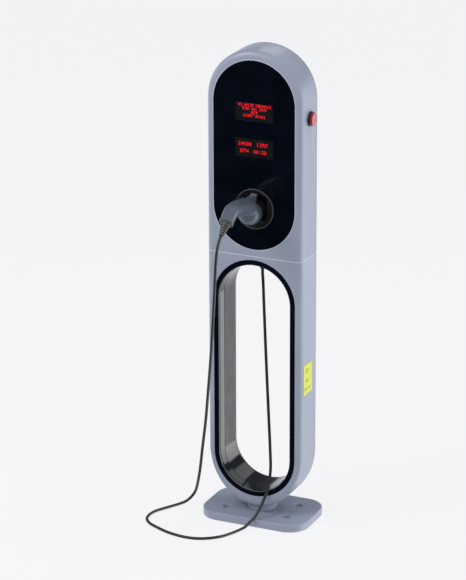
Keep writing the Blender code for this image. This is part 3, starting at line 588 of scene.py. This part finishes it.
def ring_at(outline, y):
    return [Vector((x, y, z)) for x, z in outline]


def edge_rings(side, steps=8):
    """Rings from the side of the body round its edge on to its front (-1) or rear (1) face."""
    face_y = FRONT_Y if side < 0 else REAR_Y
    rings = []
    for step in range(steps + 1):
        angle = math.pi / 2 * step / steps
        inset = EDGE_RADIUS * (1 - math.cos(angle))
        y = face_y - side * EDGE_RADIUS * (1 - math.sin(angle))
        rings.append(ring_at(body_outline(inset), y))
    return rings


def make_shell(name, rings, above, closed_face=False):
    """One painted shell: the skin over the rings, cut at the seam and given its wall."""
    bm = rings_bmesh(rings, cap_last=closed_face)
    side = 1 if above else -1
    level = SEAM_Z + side * SEAM_GAP / 2
    bmesh.ops.bisect_plane(bm, geom=bm.verts[:] + bm.edges[:] + bm.faces[:], dist=0.000001,
                           plane_co=(0, 0, level), plane_no=(0, 0, side), clear_inner=True)
    bmesh.ops.recalc_face_normals(bm, faces=bm.faces)
    centre = Vector((0.0, 0.0, (BODY_TOP_CENTRE if above else BODY_BASE_CENTRE)))
    outward = sum((face.normal.dot(face.calc_center_median() - centre) * face.calc_area())
                  for face in bm.faces)
    if outward < 0:
        bmesh.ops.reverse_faces(bm, faces=bm.faces)
    mesh = bpy.data.meshes.new(name)
    bm.to_mesh(mesh)
    bm.free()
    mesh.shade_smooth()
    shell = add_object(name, mesh, "body_paint", SURFACES["body_paint"])
    add_wall(shell, WALL, True)
    return shell


def cut_round(piece, name, radius, length, place, axis):
    """Cuts a round hole in a piece."""
    profile = [(0.0, -length / 2), (radius, -length / 2), (radius, length / 2), (0.0, length / 2)]
    mesh = finish_mesh(name, turned_bmesh(profile, place, axis, 64, closed=False))
    cutter = bpy.data.objects.new(name, mesh)
    bpy.context.scene.collection.objects.link(cutter)
    cut = piece.modifiers.new("hole", "BOOLEAN")
    cut.object = cutter
    cut.operation = "DIFFERENCE"
    bpy.context.view_layer.update()
    apply_modifiers(piece)
    bpy.data.objects.remove(cutter)


def make_housings():
    skirt = [ring_at(body_outline(), COVER_FRONT_Y - GAP)]
    fascia_lip = [ring_at(fascia_outline(-GAP), FRONT_Y)]
    front_lip, rear_lip = [[ring_at(loop_outline(-GAP), y)] for y in (FRONT_Y, REAR_Y)]
    upper = make_shell("upper_housing_shell", skirt + edge_rings(-1) + fascia_lip, True)
    cut_round(upper, "cut_button", 0.0152, 0.03, (HALF_WIDTH, BUTTON_Y, BUTTON_Z), (1, 0, 0))
    lower = make_shell("lower_housing_shell", skirt + edge_rings(-1) + front_lip, False)
    cut_round(lower, "cut_inlet", 0.0128, 0.03, (0, 0, LOWER_LOW.z), (0, 0, 1))
    cover_skirt = [ring_at(body_outline(), COVER_FRONT_Y)]
    upper_rear = make_shell("upper_rear_shell", cover_skirt + edge_rings(1), True, True)
    lower_rear = make_shell("lower_rear_shell", cover_skirt + edge_rings(1) + rear_lip, False)
    pairs = [(upper, "upper_housing"), (lower, "lower_housing")]
    pairs += [(upper_rear, "upper_rear_cover"), (lower_rear, "lower_rear_cover")]
    for shell, covered in pairs:
        add_bevel(shell, 0.0011, 3, 50.0)
        apply_modifiers(shell)
        smooth(shell.data, 40.0)
        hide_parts(covered)


def make_liner():
    """The loop's black trim, in two drafted parts: flat band, step, lip and inner wall."""
    half_section = [
        (0.0000, 0.0100, 0.0),
        (0.0000, 0.0000, 0.0011),
        (0.0138, 0.0000, 0.0009),
        (0.0142, 0.0016, 0.0005),
        (0.0152, 0.0022, 0.0006),
        (0.0156, 0.0056, 0.0005),
        (0.0165, 0.0068, 0.0008),
        (0.0166, 0.0092, 0.0),
    ]
    parting = FRONT_Y + 0.0330
    groove = [(0.0174, parting - 0.0008, 0.0), (0.0170, parting - 0.0004, 0.0),
              (0.0170, parting + 0.0004, 0.0), (0.0178, parting + 0.0008, 0.0)]
    front = [(inset, FRONT_Y + depth, size) for inset, depth, size in half_section]
    rear = groove + [(inset, REAR_Y - depth, size) for inset, depth, size in half_section[::-1]]
    section = front + rear + [(0.0145, REAR_Y - 0.0110, 0.0), (0.0145, FRONT_Y + 0.0110, 0.0)]
    profile = rounded([(inset, y) for inset, y, _ in section], [size for _, _, size in section], 4)
    rings = [ring_at(loop_outline(inset, 56), y) for inset, y in profile]
    trim = add_piece("loop_liner_trim", rings_bmesh(rings, closed=True), 28.0,
                     **looks("liner_black", "gloss_black"))
    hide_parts("loop_liner")


def make_liner_line():
    """The thin grey line between the trim's flat band and its lip, front and rear: a painted
    highlight where the step catches light.
    """
    for side, face in (("front", FRONT_Y), ("rear", REAR_Y)):
        away = 1.0 if side == "front" else -1.0
        section = [(0.0139, 0.0002), (0.0146, -0.0003), (0.0153, 0.0002), (0.0153, 0.0030),
                   (0.0139, 0.0030)]
        rings = []
        for inset, depth in rounded(section, [0.0002, 0.0006, 0.0002, 0.0, 0.0], 4):
            rings.append(ring_at(loop_outline(inset, 56), face + away * depth))
        add_piece(f"liner_step_highlight_{side}", rings_bmesh(rings, closed=True), 50.0,
                  **looks("liner_step_highlight", "gloss_black"))


def upright(u, v, w):
    """From across, back and up to the frame."""
    return Vector((u, v, w))


def make_base():
    def outline(inset):
        return rounded_rectangle(PLATE_HIGH.x - inset, PLATE_HIGH.y - inset, PLATE_CORNER - inset,
                                 14)

    def round_hole(x, y, radius):
        return lambda inset: circle((x, y), radius - inset, 48)

    spots = [(sx * 0.0942, sy * 0.0430) for sx in (-1, 1) for sy in (-1, 1)]
    holes = [round_hole(x, y, ANCHOR_RADIUS) for x, y in spots] + [round_hole(0, 0, DUCT_RADIUS)]
    bm = plate_bmesh(outline, holes, 0.0, PLATE_HIGH.z, PLATE_RIM, PLATE_RIM, upright)
    plate = add_piece("base_plate_cast", bm, 60.0, **looks("body_paint"))
    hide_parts("base_plate")

    top = LOWER_LOW.z
    low = PLATE_HIGH.z + GAP
    profile = rounded([(0.0200, low), (0.0435, low), (0.0435, low + 0.0075), (0.0405, low + 0.0125),
                       (0.0405, top + 0.0070), (0.0200, top + 0.0010)],
                      [0.0, 0.0006, 0.0022, 0.0030, 0.0, 0.0], 5)
    bm = turned_bmesh(profile, (0, 0, 0), (0, 0, 1))
    for vertex in bm.verts:
        drop = BODY_BASE_REACH * math.sqrt(1 - (vertex.co.x / HALF_WIDTH) ** 2)
        vertex.co.z = min(vertex.co.z, BODY_BASE_CENTRE - drop - GAP)
    collar = add_piece("neck_collar_cast", bm, **looks("body_paint"))
    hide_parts("neck_collar")


# ---- fascia and displays
def on_front(u, v, w):
    """From across, up and depth behind the front to the frame."""
    return Vector((u, w, v))


WINDOWS = {
    "upper": [
        (19.5, 1.5, 0.96, 1.12, "02 46135 70824613"),
        (9.5, 0.0, 0.94, 1.12, "5702 461 3570"),
        (-0.5, 0.5, 1.12, 1.12, "824"),
        (-10.5, 0.5, 1.02, 1.12, "61357 02461"),
    ],
    "lower": [
        (10.9, -28.5, 1.36, 1.50, "24680"),
        (10.9, 23.5, 1.50, 1.50, "1357"),
        (-9.6, -29.6, 1.54, 1.50, "074"),
        (-9.8, 17.2, 1.30, 1.50, "08:30"),
    ],
}
DOT_SIZES = {"upper": 0.47, "lower": 0.42}
GLYPHS = {
    "0": ("01110", "10001", "10011", "10101", "11001", "10001", "01110"),
    "1": ("00100", "01100", "00100", "00100", "00100", "00100", "01110"),
    "2": ("01110", "10001", "00001", "00010", "00100", "01000", "11111"),
    "3": ("11111", "00010", "00100", "00010", "00001", "10001", "01110"),
    "4": ("00010", "00110", "01010", "10010", "11111", "00010", "00010"),
    "5": ("11111", "10000", "11110", "00001", "00001", "10001", "01110"),
    "6": ("00110", "01000", "10000", "11110", "10001", "10001", "01110"),
    "7": ("11111", "00001", "00010", "00100", "01000", "01000", "01000"),
    "8": ("01110", "10001", "10001", "01110", "10001", "10001", "01110"),
    ":": ("00000", "00100", "00100", "00000", "00100", "00100", "00000"),
    " ": ("00000",) * 7,
}


def add_dot(bm, centre, size_x, size_z, y):
    """One lit dot: a low eight-sided dome."""
    rings = []
    for share, lift in ((1.0, 0.0), (0.92, 0.00012), (0.55, 0.00022)):
        ring = []
        for step in range(8):
            angle = math.pi / 8 + math.pi / 4 * step
            x = centre[0] + size_x * share * math.cos(angle)
            z = centre[1] + size_z * share * math.sin(angle)
            ring.append(bm.verts.new((x, y - lift, z)))
        rings.append(ring)
    for first, second in zip(rings, rings[1:]):
        bridge(bm, first, second)
    bm.faces.new(rings[0])
    bm.faces.new(rings[-1])


def make_display(which):
    low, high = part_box(f"{which}_display_window")
    centre_z = (low.z + high.z) / 2
    front = low.y
    half_x, half_z = high.x, (high.z - low.z) / 2

    def outline(inset):
        return rounded_rectangle(half_x - inset, half_z - inset, 0.0026 - inset, 6, (0.0, centre_z))

    bm = plate_bmesh(outline, [], front, high.y, 0.0004, 0.0, on_front)
    pane = add_piece(f"{which}_display_pane", bm, 60.0, **looks("display_window"))
    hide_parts(f"{which}_display_window")

    dots = bmesh.new()
    size = DOT_SIZES[which] / 1000.0
    for row_z, row_x, pitch_x, pitch_z, text in WINDOWS[which]:
        columns = 6 * len(text) - 1
        for place, character in enumerate(text):
            for row, line in enumerate(GLYPHS[character]):
                for column, lit in enumerate(line):
                    if lit == "1":
                        across = (6 * place + column - (columns - 1) / 2) * pitch_x + row_x
                        up = row_z + (3 - row) * pitch_z
                        spot = (across / 1000.0, centre_z + up / 1000.0)
                        add_dot(dots, spot, pitch_x * size, pitch_z * size, front - 0.00005)
    mesh = bpy.data.meshes.new(f"{which}_display_dots")
    bmesh.ops.recalc_face_normals(dots, faces=dots.faces)
    dots.to_mesh(mesh)
    dots.free()
    add_object(f"{which}_display_dots", mesh, **looks("led_red"))


def make_fascia():
    def outline(inset):
        return fascia_outline(inset, 56)

    def window(which):
        low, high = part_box(f"{which}_display_window")
        half_z = (high.z - low.z) / 2
        return lambda inset: rounded_rectangle(high.x + GAP - inset, half_z + GAP - inset, 0.003,
                                               6, (0.0, (low.z + high.z) / 2))

    def holster(inset):
        return circle((0.0, HOLSTER_Z), BEZEL_RADIUS + GAP - inset, 120)

    holes = [window("upper"), window("lower"), holster]
    bm = plate_bmesh(outline, holes, FASCIA_Y, FASCIA_HIGH.y, 0.0007, 0.0003, on_front)
    panel = add_piece("fascia_glass", bm, 60.0, **looks("gloss_black"))
    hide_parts("fascia_panel")


make_housings()
make_liner()
make_liner_line()
make_base()
make_fascia()
for WHICH in ("upper", "lower"):
    make_display(WHICH)


def make_seam_strip():
    """The joint strip between the two housings, flush with their faces, painted pale as a highlight
    along the seam.
    """
    def outline(extra):
        return lambda inset: rounded_rectangle(HALF_WIDTH - extra - inset, REAR_Y - extra - inset,
                                               EDGE_RADIUS - extra, 10)

    proud, depth, half = 0.0001, 0.0040, 0.0013
    bm = plate_bmesh(outline(-proud), [outline(depth)], SEAM_Z - half, SEAM_Z + half, 0.0, 0.0,
                     upright)
    add_piece("seam_strip", bm, 30.0, **looks("seam_painted_highlight", "body_paint"))


def make_fascia_rim():
    """The rounded edge of the housing round the fascia: glossy, and painted lighter than the body
    as a highlight.
    """
    def outline(inset):
        return fascia_outline(inset - 0.0022, 64)

    def hole(inset):
        return fascia_outline(-GAP - inset, 64)

    bm = plate_bmesh(outline, [hole], FRONT_Y - 0.0003, FASCIA_Y + 0.0010, 0.0003, 0.0013,
                     on_front)
    add_piece("fascia_rim", bm, 50.0, **looks("fascia_edge_painted_highlight", "body_paint"))


# ---- holster
def holster_ring(size, depth, squareness, lift, stretch, steps=120):
    """A ring round the holster's axis that turns from a circle (0) into a rounded square (1)."""
    power = 2.0 + 5.0 * squareness
    points = []
    for step in range(steps):
        angle = 2 * math.pi * step / steps
        c, s = math.cos(angle), math.sin(angle)
        reach = size / (abs(c) ** power + abs(s) ** power) ** (1.0 / power)
        points.append(Vector((reach * c, FASCIA_Y + depth, HOLSTER_Z + lift + reach * s * stretch)))
    return points


def make_holster():
    front = FASCIA_Y
    profile = rounded([(BEZEL_RADIUS - 0.0026, 0.0012), (BEZEL_RADIUS, 0.0012),
                       (BEZEL_RADIUS, -0.0040), (BEZEL_RADIUS - 0.0026, -0.0040)],
                      [0.0008, 0.0009, 0.0, 0.0], 4)
    # The rim is painted dark grey, lighter than its gloss black, as a highlight.
    ring = turned("holster_rim_painted_highlight", profile, (0, front, HOLSTER_Z), (0, -1, 0), 160,
                  **looks("holster_rim_painted_highlight", "gloss_black"))
    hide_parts("holster_bezel")

    sections = [
        (0.0564, 0.0000, 0.0),
        (0.0556, 0.0012, 0.0),
        (0.0524, 0.0046, 0.0),
        (0.0516, 0.0048, 0.0),
        (0.0510, 0.0062, 0.0),
        (0.0484, 0.0066, 0.0),
        (0.0478, 0.0080, 0.0),
        (0.0450, 0.0086, 0.05),
        (0.0370, 0.0098, 0.9),
        (0.0352, 0.0104, 1.0),
        (0.0345, 0.0120, 1.0),
        (0.0338, 0.0440, 1.0),
    ]
    rings = []
    for size, depth, squareness in sections:
        lift, stretch = 0.003 * squareness, 1 + 0.07 * squareness
        rings.append(holster_ring(size, depth, squareness, lift, stretch))
    bm = rings_bmesh(rings, cap_last=True)
    dish = add_piece("holster_dish", bm, 32.0, **looks("dark_plastic"))
    add_wall(dish, 0.0014, False)
    apply_modifiers(dish)
    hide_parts("holster_cup")

    low = (-0.0130, front + 0.0012, HOLSTER_Z + 0.0345)
    rounded_box("holster_latch", low, (0.0050, front + 0.0110, HOLSTER_Z + 0.0420), 0.0008,
                **looks("latch_grey_and_ledge_highlight", "dark_plastic"))
    # The ledge is painted grey, lighter than its dark plastic, as a highlight.
    low = (0.0160, front + 0.0075, HOLSTER_Z - 0.0400)
    rounded_box("holster_ledge", low, (0.0310, front + 0.0100, HOLSTER_Z - 0.0385), 0.0005,
                **looks("latch_grey_and_ledge_highlight", "dark_plastic"))
    low = (-0.0300, front + 0.0030, HOLSTER_Z + 0.0350)
    rounded_box("holster_latch_guide", low, (-0.0136, front + 0.0104, HOLSTER_Z + 0.0400), 0.0010,
                **looks("gloss_black"))


# ---- connector
ARM_STATIONS = [
    (0.040, 0.015, 0.0265),
    (0.064, 0.026, 0.0245),
    (0.093, 0.032, 0.0237),
    (0.124, 0.0372, 0.0230),
    (0.154, 0.0365, 0.0215),
]
HEAD_DROP = 0.004
HEAD_OUT = 0.030
HEAD_RADIUS = 0.033
HEAD_START = 0.0215
PARTING_ANGLE = 15


def head_point(angle, extra=0.0):
    """A point of the head's profile: 0 degrees is its rim and 90 the tip of its dome."""
    turn = math.radians(angle)
    size = HEAD_RADIUS + extra
    return (size * math.cos(turn), HEAD_OUT + size * math.sin(turn))


def make_connector():
    head_place = (0, FASCIA_Y, HOLSTER_Z - HEAD_DROP)
    chamfer = 0.0015
    profile = [(0.0, HEAD_START), (HEAD_RADIUS - chamfer, HEAD_START),
               (HEAD_RADIUS, HEAD_START + chamfer)]
    profile += [head_point(angle) for angle in range(0, 91, 5)]
    shape = turned_bmesh(profile, head_place, (0, -1, 0), 96, closed=False)
    bmesh.ops.remove_doubles(shape, verts=shape.verts, dist=0.00001)

    stations = [Vector((0.0, FASCIA_Y - out, HOLSTER_Z + rise, size))
                for out, rise, size in ARM_STATIONS]
    lead_in = ARM_END - BOOT_AXIS * 0.012
    stations += [Vector((*lead_in, 0.0198)), Vector((*ARM_END, 0.0192))]
    route = smooth_route(stations, 10)
    arm = tube_bmesh([point.to_3d() for point in route], lambda index: route[index].w, 64)
    join_bmesh(shape, arm)
    keel = box_bmesh((-0.0115, FASCIA_Y - 0.0460, HOLSTER_Z + 0.0235),
                     (0.0115, FASCIA_Y - 0.0065, HOLSTER_Z + 0.0435))
    bmesh.ops.bevel(keel, geom=keel.edges[:], offset=0.0045, segments=5, profile=0.5,
                    affect="EDGES")
    join_bmesh(shape, keel)
    bmesh.ops.recalc_face_normals(shape, faces=shape.faces)
    body = add_piece("connector_grip", shape, **looks("connector_grey", body="connector"))
    melt = body.modifiers.new("melt", "REMESH")
    melt.mode = "VOXEL"
    melt.voxel_size = 0.0011
    ease = body.modifiers.new("ease", "SMOOTH")
    ease.factor = 0.6
    ease.iterations = 10
    apply_modifiers(body)
    dress(body.data, SURFACES["connector_grey"])
    body.data.shade_smooth()
    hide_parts("connector_body")

    # The head's flank behind the parting circle is painted darker than the grip, as shade.
    outer = [(HEAD_RADIUS + 0.0003, HEAD_START)]
    outer += [head_point(angle, 0.0003) for angle in range(0, PARTING_ANGLE + 1, 5)]
    inner = [head_point(angle, -0.0012) for angle in range(PARTING_ANGLE, -1, -5)]
    inner += [(HEAD_RADIUS - 0.0012, HEAD_START)]
    turned("connector_flank", outer + inner, head_place, (0, -1, 0), 128,
           **looks("connector_painted_shade", "connector_grey", "connector"))

    rim = rounded([(0.0170, -0.0030), (0.0170, 0.0022), (0.0204, 0.0022), (0.0204, -0.0040),
                   (0.0192, -0.0090), (0.0175, -0.0090)],
                  [0.0, 0.0007, 0.0010, 0.0020, 0.0, 0.0], 4)
    turned("connector_arm_rim", rim, ARM_END, BOOT_AXIS, 72,
           **looks("connector_grey", body="connector"))
    make_nose()


def make_nose():
    low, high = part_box("connector_nose")
    radius = high.x
    flat = high.z - HOLSTER_Z

    def outline(inset):
        points = circle((0.0, 0.0), radius - inset, 96)
        return [(x, HOLSTER_Z + min(z, flat - inset)) for x, z in points]

    def bore(x, z, size):
        return lambda inset: circle((x, HOLSTER_Z + z), size - inset, 32)

    places = [(-0.0085, 0.0165, 0.0019), (0.0085, 0.0165, 0.0019)]
    places += [(x, 0.0010, 0.0034) for x in (-0.0170, 0.0, 0.0170)]
    places += [(-0.0090, -0.0150, 0.0034), (0.0090, -0.0150, 0.0034)]
    split = high.y - 0.025
    bores = [bore(x, z, size + 0.0009) for x, z, size in places]
    bm = plate_bmesh(outline, bores, split, high.y, 0.0008, 0.0004, on_front)
    face = add_piece("connector_face", bm, 40.0, **looks("dark_plastic", body="connector"))
    bm = plate_bmesh(outline, [], low.y, split + GAP, 0.0004, 0.0, on_front)
    add_piece("connector_shank", bm, 40.0, **looks("dark_plastic", body="connector"))
    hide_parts("connector_nose")
    for index, (x, z, size) in enumerate(places):
        end = split + 0.0215
        profile = rounded([(0.0, split - 0.0005), (size, split - 0.0005), (size, end), (0.0, end)],
                          [0.0, 0.0, size * 0.6, 0.0], 5, closed=False)
        pin = turned(f"contact_pin_{index + 1}", profile, (x, 0, HOLSTER_Z + z), (0, 1, 0), 24,
                     False, **looks("contact_silver", body="connector"))
        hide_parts(f"connector_contact_{index + 1}")


def make_boot():
    """The strain relief: a core painted darker than the rubber as shade between the ribs, a collar,
    five ribs and four bars that join the ribs.
    """
    def envelope(along):
        return 0.0144 - 0.0078 * along / BOOT_LENGTH

    reach = BOOT_LENGTH
    core = [(0.0, GAP), (0.0100, GAP), (0.0052, reach - GAP), (0.0, reach - GAP)]
    turned("boot_core", core, ARM_END, BOOT_AXIS, 48, False,
           **looks("rubber_painted_shade", "boot_rubber", "connector"))
    ribs = bmesh.new()
    starts = [(GAP, 0.0046)] + [(0.0088 + 0.0076 * index, 0.0031) for index in range(5)]
    for start, width in starts:
        outer = envelope(start)
        inner = outer * 0.55
        profile = rounded([(inner, start), (outer, start), (outer - 0.0005, start + width),
                           (inner, start + width)], [0.0, 0.0008, 0.0008, 0.0], 3)
        join_bmesh(ribs, turned_bmesh(profile, ARM_END, BOOT_AXIS, 64))
    up = Vector((0.0, BOOT_AXIS.z, -BOOT_AXIS.y))
    for side in (Vector((1, 0, 0)), Vector((-1, 0, 0)), up, -up):
        points = []
        for step in range(13):
            along = 0.0025 + (reach - 0.0035) * step / 12
            points.append(ARM_END + BOOT_AXIS * along + side * (envelope(along) - 0.0017))
        join_bmesh(ribs, tube_bmesh(points, lambda index: 0.0016 - 0.00004 * index, 12))
    boot = add_piece("boot_ribs", ribs, **looks("boot_rubber", body="connector"))
    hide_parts("connector_boot")


# ---- gland, stop button and label
def make_gland():
    low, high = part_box("gland_dome_nut")
    top = high.z
    profile = rounded([(0.0045, low.z), (0.0062, low.z), (0.0072, low.z + 0.0045),
                       (0.0100, low.z + 0.0085), (0.0117, low.z + 0.0130), (0.0117, top),
                       (0.0, top)],
                      [0.0006, 0.0008, 0.003, 0.003, 0.002, 0.0004, 0.0], 5, closed=False)
    profile = [(0.0, low.z)] + profile
    bm = turned_bmesh(profile, (0, 0, 0), (0, 0, 1), 144, closed=False)
    flutes = 12
    for vertex in bm.verts:
        grip = min(1.0, max(0.0, (vertex.co.z - low.z - 0.0110) / 0.004))
        if grip > 0 and vertex.co.z < top - 0.0002:
            angle = math.atan2(vertex.co.y, vertex.co.x)
            shrink = 1.0 - 0.07 * grip * (0.5 - 0.5 * math.cos(flutes * angle)) ** 3
            vertex.co.x *= shrink
            vertex.co.y *= shrink
    nut = add_piece("gland_nut_fluted", bm, **looks("dark_plastic"))
    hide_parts("gland_dome_nut")


def make_stop_button():
    place = (HALF_WIDTH, BUTTON_Y, BUTTON_Z)
    outward = (1, 0, 0)
    cap = CAP_HIGH.z - BUTTON_Z
    reach = CAP_HIGH.x - HALF_WIDTH
    profile = rounded([(0.0, reach), (cap * 0.55, reach - 0.0001), (cap, reach - 0.0008),
                       (cap, 0.0066), (0.0100, 0.0066), (0.0100, -0.0255), (0.0, -0.0255)],
                      [0.0, 0.002, 0.0024, 0.0006, 0.0, 0.0005, 0.0], 6, closed=False)
    button = turned("stop_cap", profile, place, outward, 96, False,
                    **looks("signal_red", body="stop_button"))
    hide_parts("stop_button_cap")

    collar = 0.0212
    profile = rounded([(cap + 0.0006, 0.0062), (collar - 0.0008, 0.0058), (collar, 0.0010),
                       (collar, GAP), (0.0148, GAP), (0.0148, -0.0300), (0.0106, -0.0300),
                       (0.0106, 0.0016),
                       (cap + 0.0006, 0.0016)],
                      [0.0004, 0.0012, 0.0, 0.0, 0.0, 0.0003, 0.0003, 0.0, 0.0], 4)
    ring = turned("stop_collar", profile, place, outward, 96, **looks("dark_plastic"))
    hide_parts("stop_button_collar")
    profile = [(0.0214, 0.0), (0.0216, 0.0004), (0.0240, 0.0001), (0.0262, 0.0004),
               (0.0276, 0.0006), (0.0284, 0.0004), (0.0287, 0.0), (0.0287, -0.0004),
               (0.0214, -0.0004)]
    turned("stop_button_dimple", profile, place, outward, 96, **looks("body_paint"))


def make_label():
    low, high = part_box("side_label")
    middle = ((low.y + high.y) / 2, (low.z + high.z) / 2)
    half_y, half_z = (high.y - low.y) / 2, (high.z - low.z) / 2

    def on_side(u, v, w):
        return Vector((w, u, v))

    def outline(inset):
        return rounded_rectangle(half_y - inset, half_z - inset, 0.0022, 6, middle)

    bm = plate_bmesh(outline, [], low.x, high.x, 0.0001, 0.0, on_side)
    label = add_piece("side_label_vinyl", bm, 40.0, **looks("label_yellow"))
    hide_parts("side_label")
    marks = bmesh.new()
    bars = [(-0.016, 0.030, 0.018), (-0.016, 0.025, 0.026), (-0.016, 0.020, 0.014),
            (-0.016, -0.002, 0.022), (-0.016, -0.007, 0.016), (0.004, -0.026, 0.016),
            (0.004, -0.031, 0.012)]
    for start, height, length in bars:
        bar_low = (high.x, middle[0] + start, middle[1] + height - 0.0008)
        bar_high = (high.x + 0.0001, middle[0] + start + length, middle[1] + height + 0.0008)
        join_bmesh(marks, box_bmesh(bar_low, bar_high))
    for across, size in ((-0.018, 0.0045), (-0.008, 0.0032)):
        spot = (across + middle[0], middle[1] - 0.028)
        rims = [lambda inset, radius=radius: circle(spot, radius - inset, 24)
                for radius in (size, size * 0.6)]
        join_bmesh(marks, plate_bmesh(rims[0], rims[1:], high.x, high.x + 0.0001, 0.0, 0.0,
                                      on_side))
    add_piece("side_label_marks", marks, **looks("label_ink"))


make_seam_strip()
make_fascia_rim()
make_holster()
make_connector()
make_boot()
make_gland()
make_stop_button()
make_label()


# ---- carried-over nodes, stage and light
FLOOR_GLOW = 0.832
CARD_EDGE = 65.4
LOW_FRONT = (0.010, 0.014, 0.022)
REAR_LEFT = (0.95, 0.96, 1.00)
REAR_RIGHT = (2.30, 2.34, 2.42)
SIDE_STRIP = (3.60, 3.66, 3.76)
SKY = (0.60, 0.61, 0.64)
SKY_REAR = (0.14, 0.15, 0.17)
SKY_PATCH = (1.10, 1.12, 1.16)


def dress_nodes():
    """Gives every CAD node that still shows the finish of its material slot."""
    slots = {part["node"]: part["material_slot"] for part in frame["record"]["subparts"]}
    for name, made in frame["nodes"].items():
        dress(made.data, SURFACES[slots[name]])
        smooth(made.data, 32.0)


def make_floor():
    bm = bmesh.new()
    bmesh.ops.create_grid(bm, x_segments=1, y_segments=1, size=30.0)
    mesh = bpy.data.meshes.new("floor")
    bm.to_mesh(mesh)
    bm.free()
    surface = bpy.data.materials.new("floor_pale")
    surface.use_nodes = True
    shader = surface.node_tree.nodes["Principled BSDF"]
    shader.inputs["Base Color"].default_value = (0.12, 0.12, 0.121, 1.0)
    shader.inputs["Roughness"].default_value = 0.9
    shader.inputs["Specular IOR Level"].default_value = 0.0
    shader.inputs["Emission Color"].default_value = (0.985, 0.985, 1.0, 1.0)
    shader.inputs["Emission Strength"].default_value = FLOOR_GLOW
    floor = add_object("floor", mesh, None, surface, None)
    floor.visible_glossy = False


def make_world():
    """A studio: bright above and behind, dark low in front, as black flags would make it."""
    world = bpy.data.worlds.new("studio")
    bpy.context.scene.world = world
    world.use_nodes = True
    tree = world.node_tree
    background = tree.nodes["Background"]
    coordinates = node(tree, "ShaderNodeTexCoord")
    split = node(tree, "ShaderNodeSeparateXYZ")
    link(tree, coordinates, "Generated", split, "Vector")
    sideways = node(tree, "ShaderNodeVectorMath", operation="DOT_PRODUCT")
    link(tree, coordinates, "Generated", sideways, "Vector")
    turn = math.radians(CARD_EDGE)
    sideways.inputs[1].default_value = (math.sin(turn), -math.cos(turn), 0.0)
    card = map_range(tree, sideways, "Value", 0.0, 1.0, -0.012, 0.012)
    strip = map_range(tree, sideways, "Value", 0.0, 1.0, 0.40, 0.66)
    behind = layer(tree, card, REAR_LEFT, layer(tree, strip, REAR_RIGHT, SIDE_STRIP))
    low = layer(tree, map_range(tree, split, "Y", 0.0, 1.0, -0.30, 0.0), LOW_FRONT, behind)
    patch_side = map_range(tree, split, "X", 0.0, 1.0, 0.04, 0.07)
    patch_height = map_range(tree, split, "Z", 0.0, 1.0, 0.31, 0.33)
    patch = layer(tree, patch_side, SKY_REAR, layer(tree, patch_height, SKY_REAR, SKY_PATCH))
    high = layer(tree, map_range(tree, split, "Y", 1.0, 0.0, -0.15, 0.25), patch, SKY)
    whole = layer(tree, map_range(tree, split, "Z", 0.0, 1.0, 0.06, 0.10), low, high)
    link(tree, whole, "Result", background, "Color")
    background.inputs["Strength"].default_value = 1.0


def add_light(name, place, target, width, height, power, colour=(1.0, 1.0, 1.0)):
    data = bpy.data.lights.new(name, "AREA")
    data.shape = "RECTANGLE"
    data.size = width
    data.size_y = height
    data.energy = power
    data.color = colour
    lamp = bpy.data.objects.new(name, data)
    lamp.location = place
    lamp.rotation_euler = (Vector(target) - Vector(place)).to_track_quat("-Z", "Y").to_euler()
    bpy.context.scene.collection.objects.link(lamp)


dress_nodes()
make_floor()
make_world()
add_light("key_right", (3.4, -0.6, 1.7), (0.0, 0.0, 0.8), 2.2, 2.6, 12.0, (0.98, 0.99, 1.0))
add_light("top_left", (-1.6, -1.8, 3.0), (0.0, 0.0, 0.9), 1.4, 1.4, 42.0)
add_light("top_rear", (-0.5, 2.2, 2.6), (0.0, 0.0, 0.7), 0.9, 1.2, 6.0)
bpy.context.scene.view_settings.view_transform = "Standard"
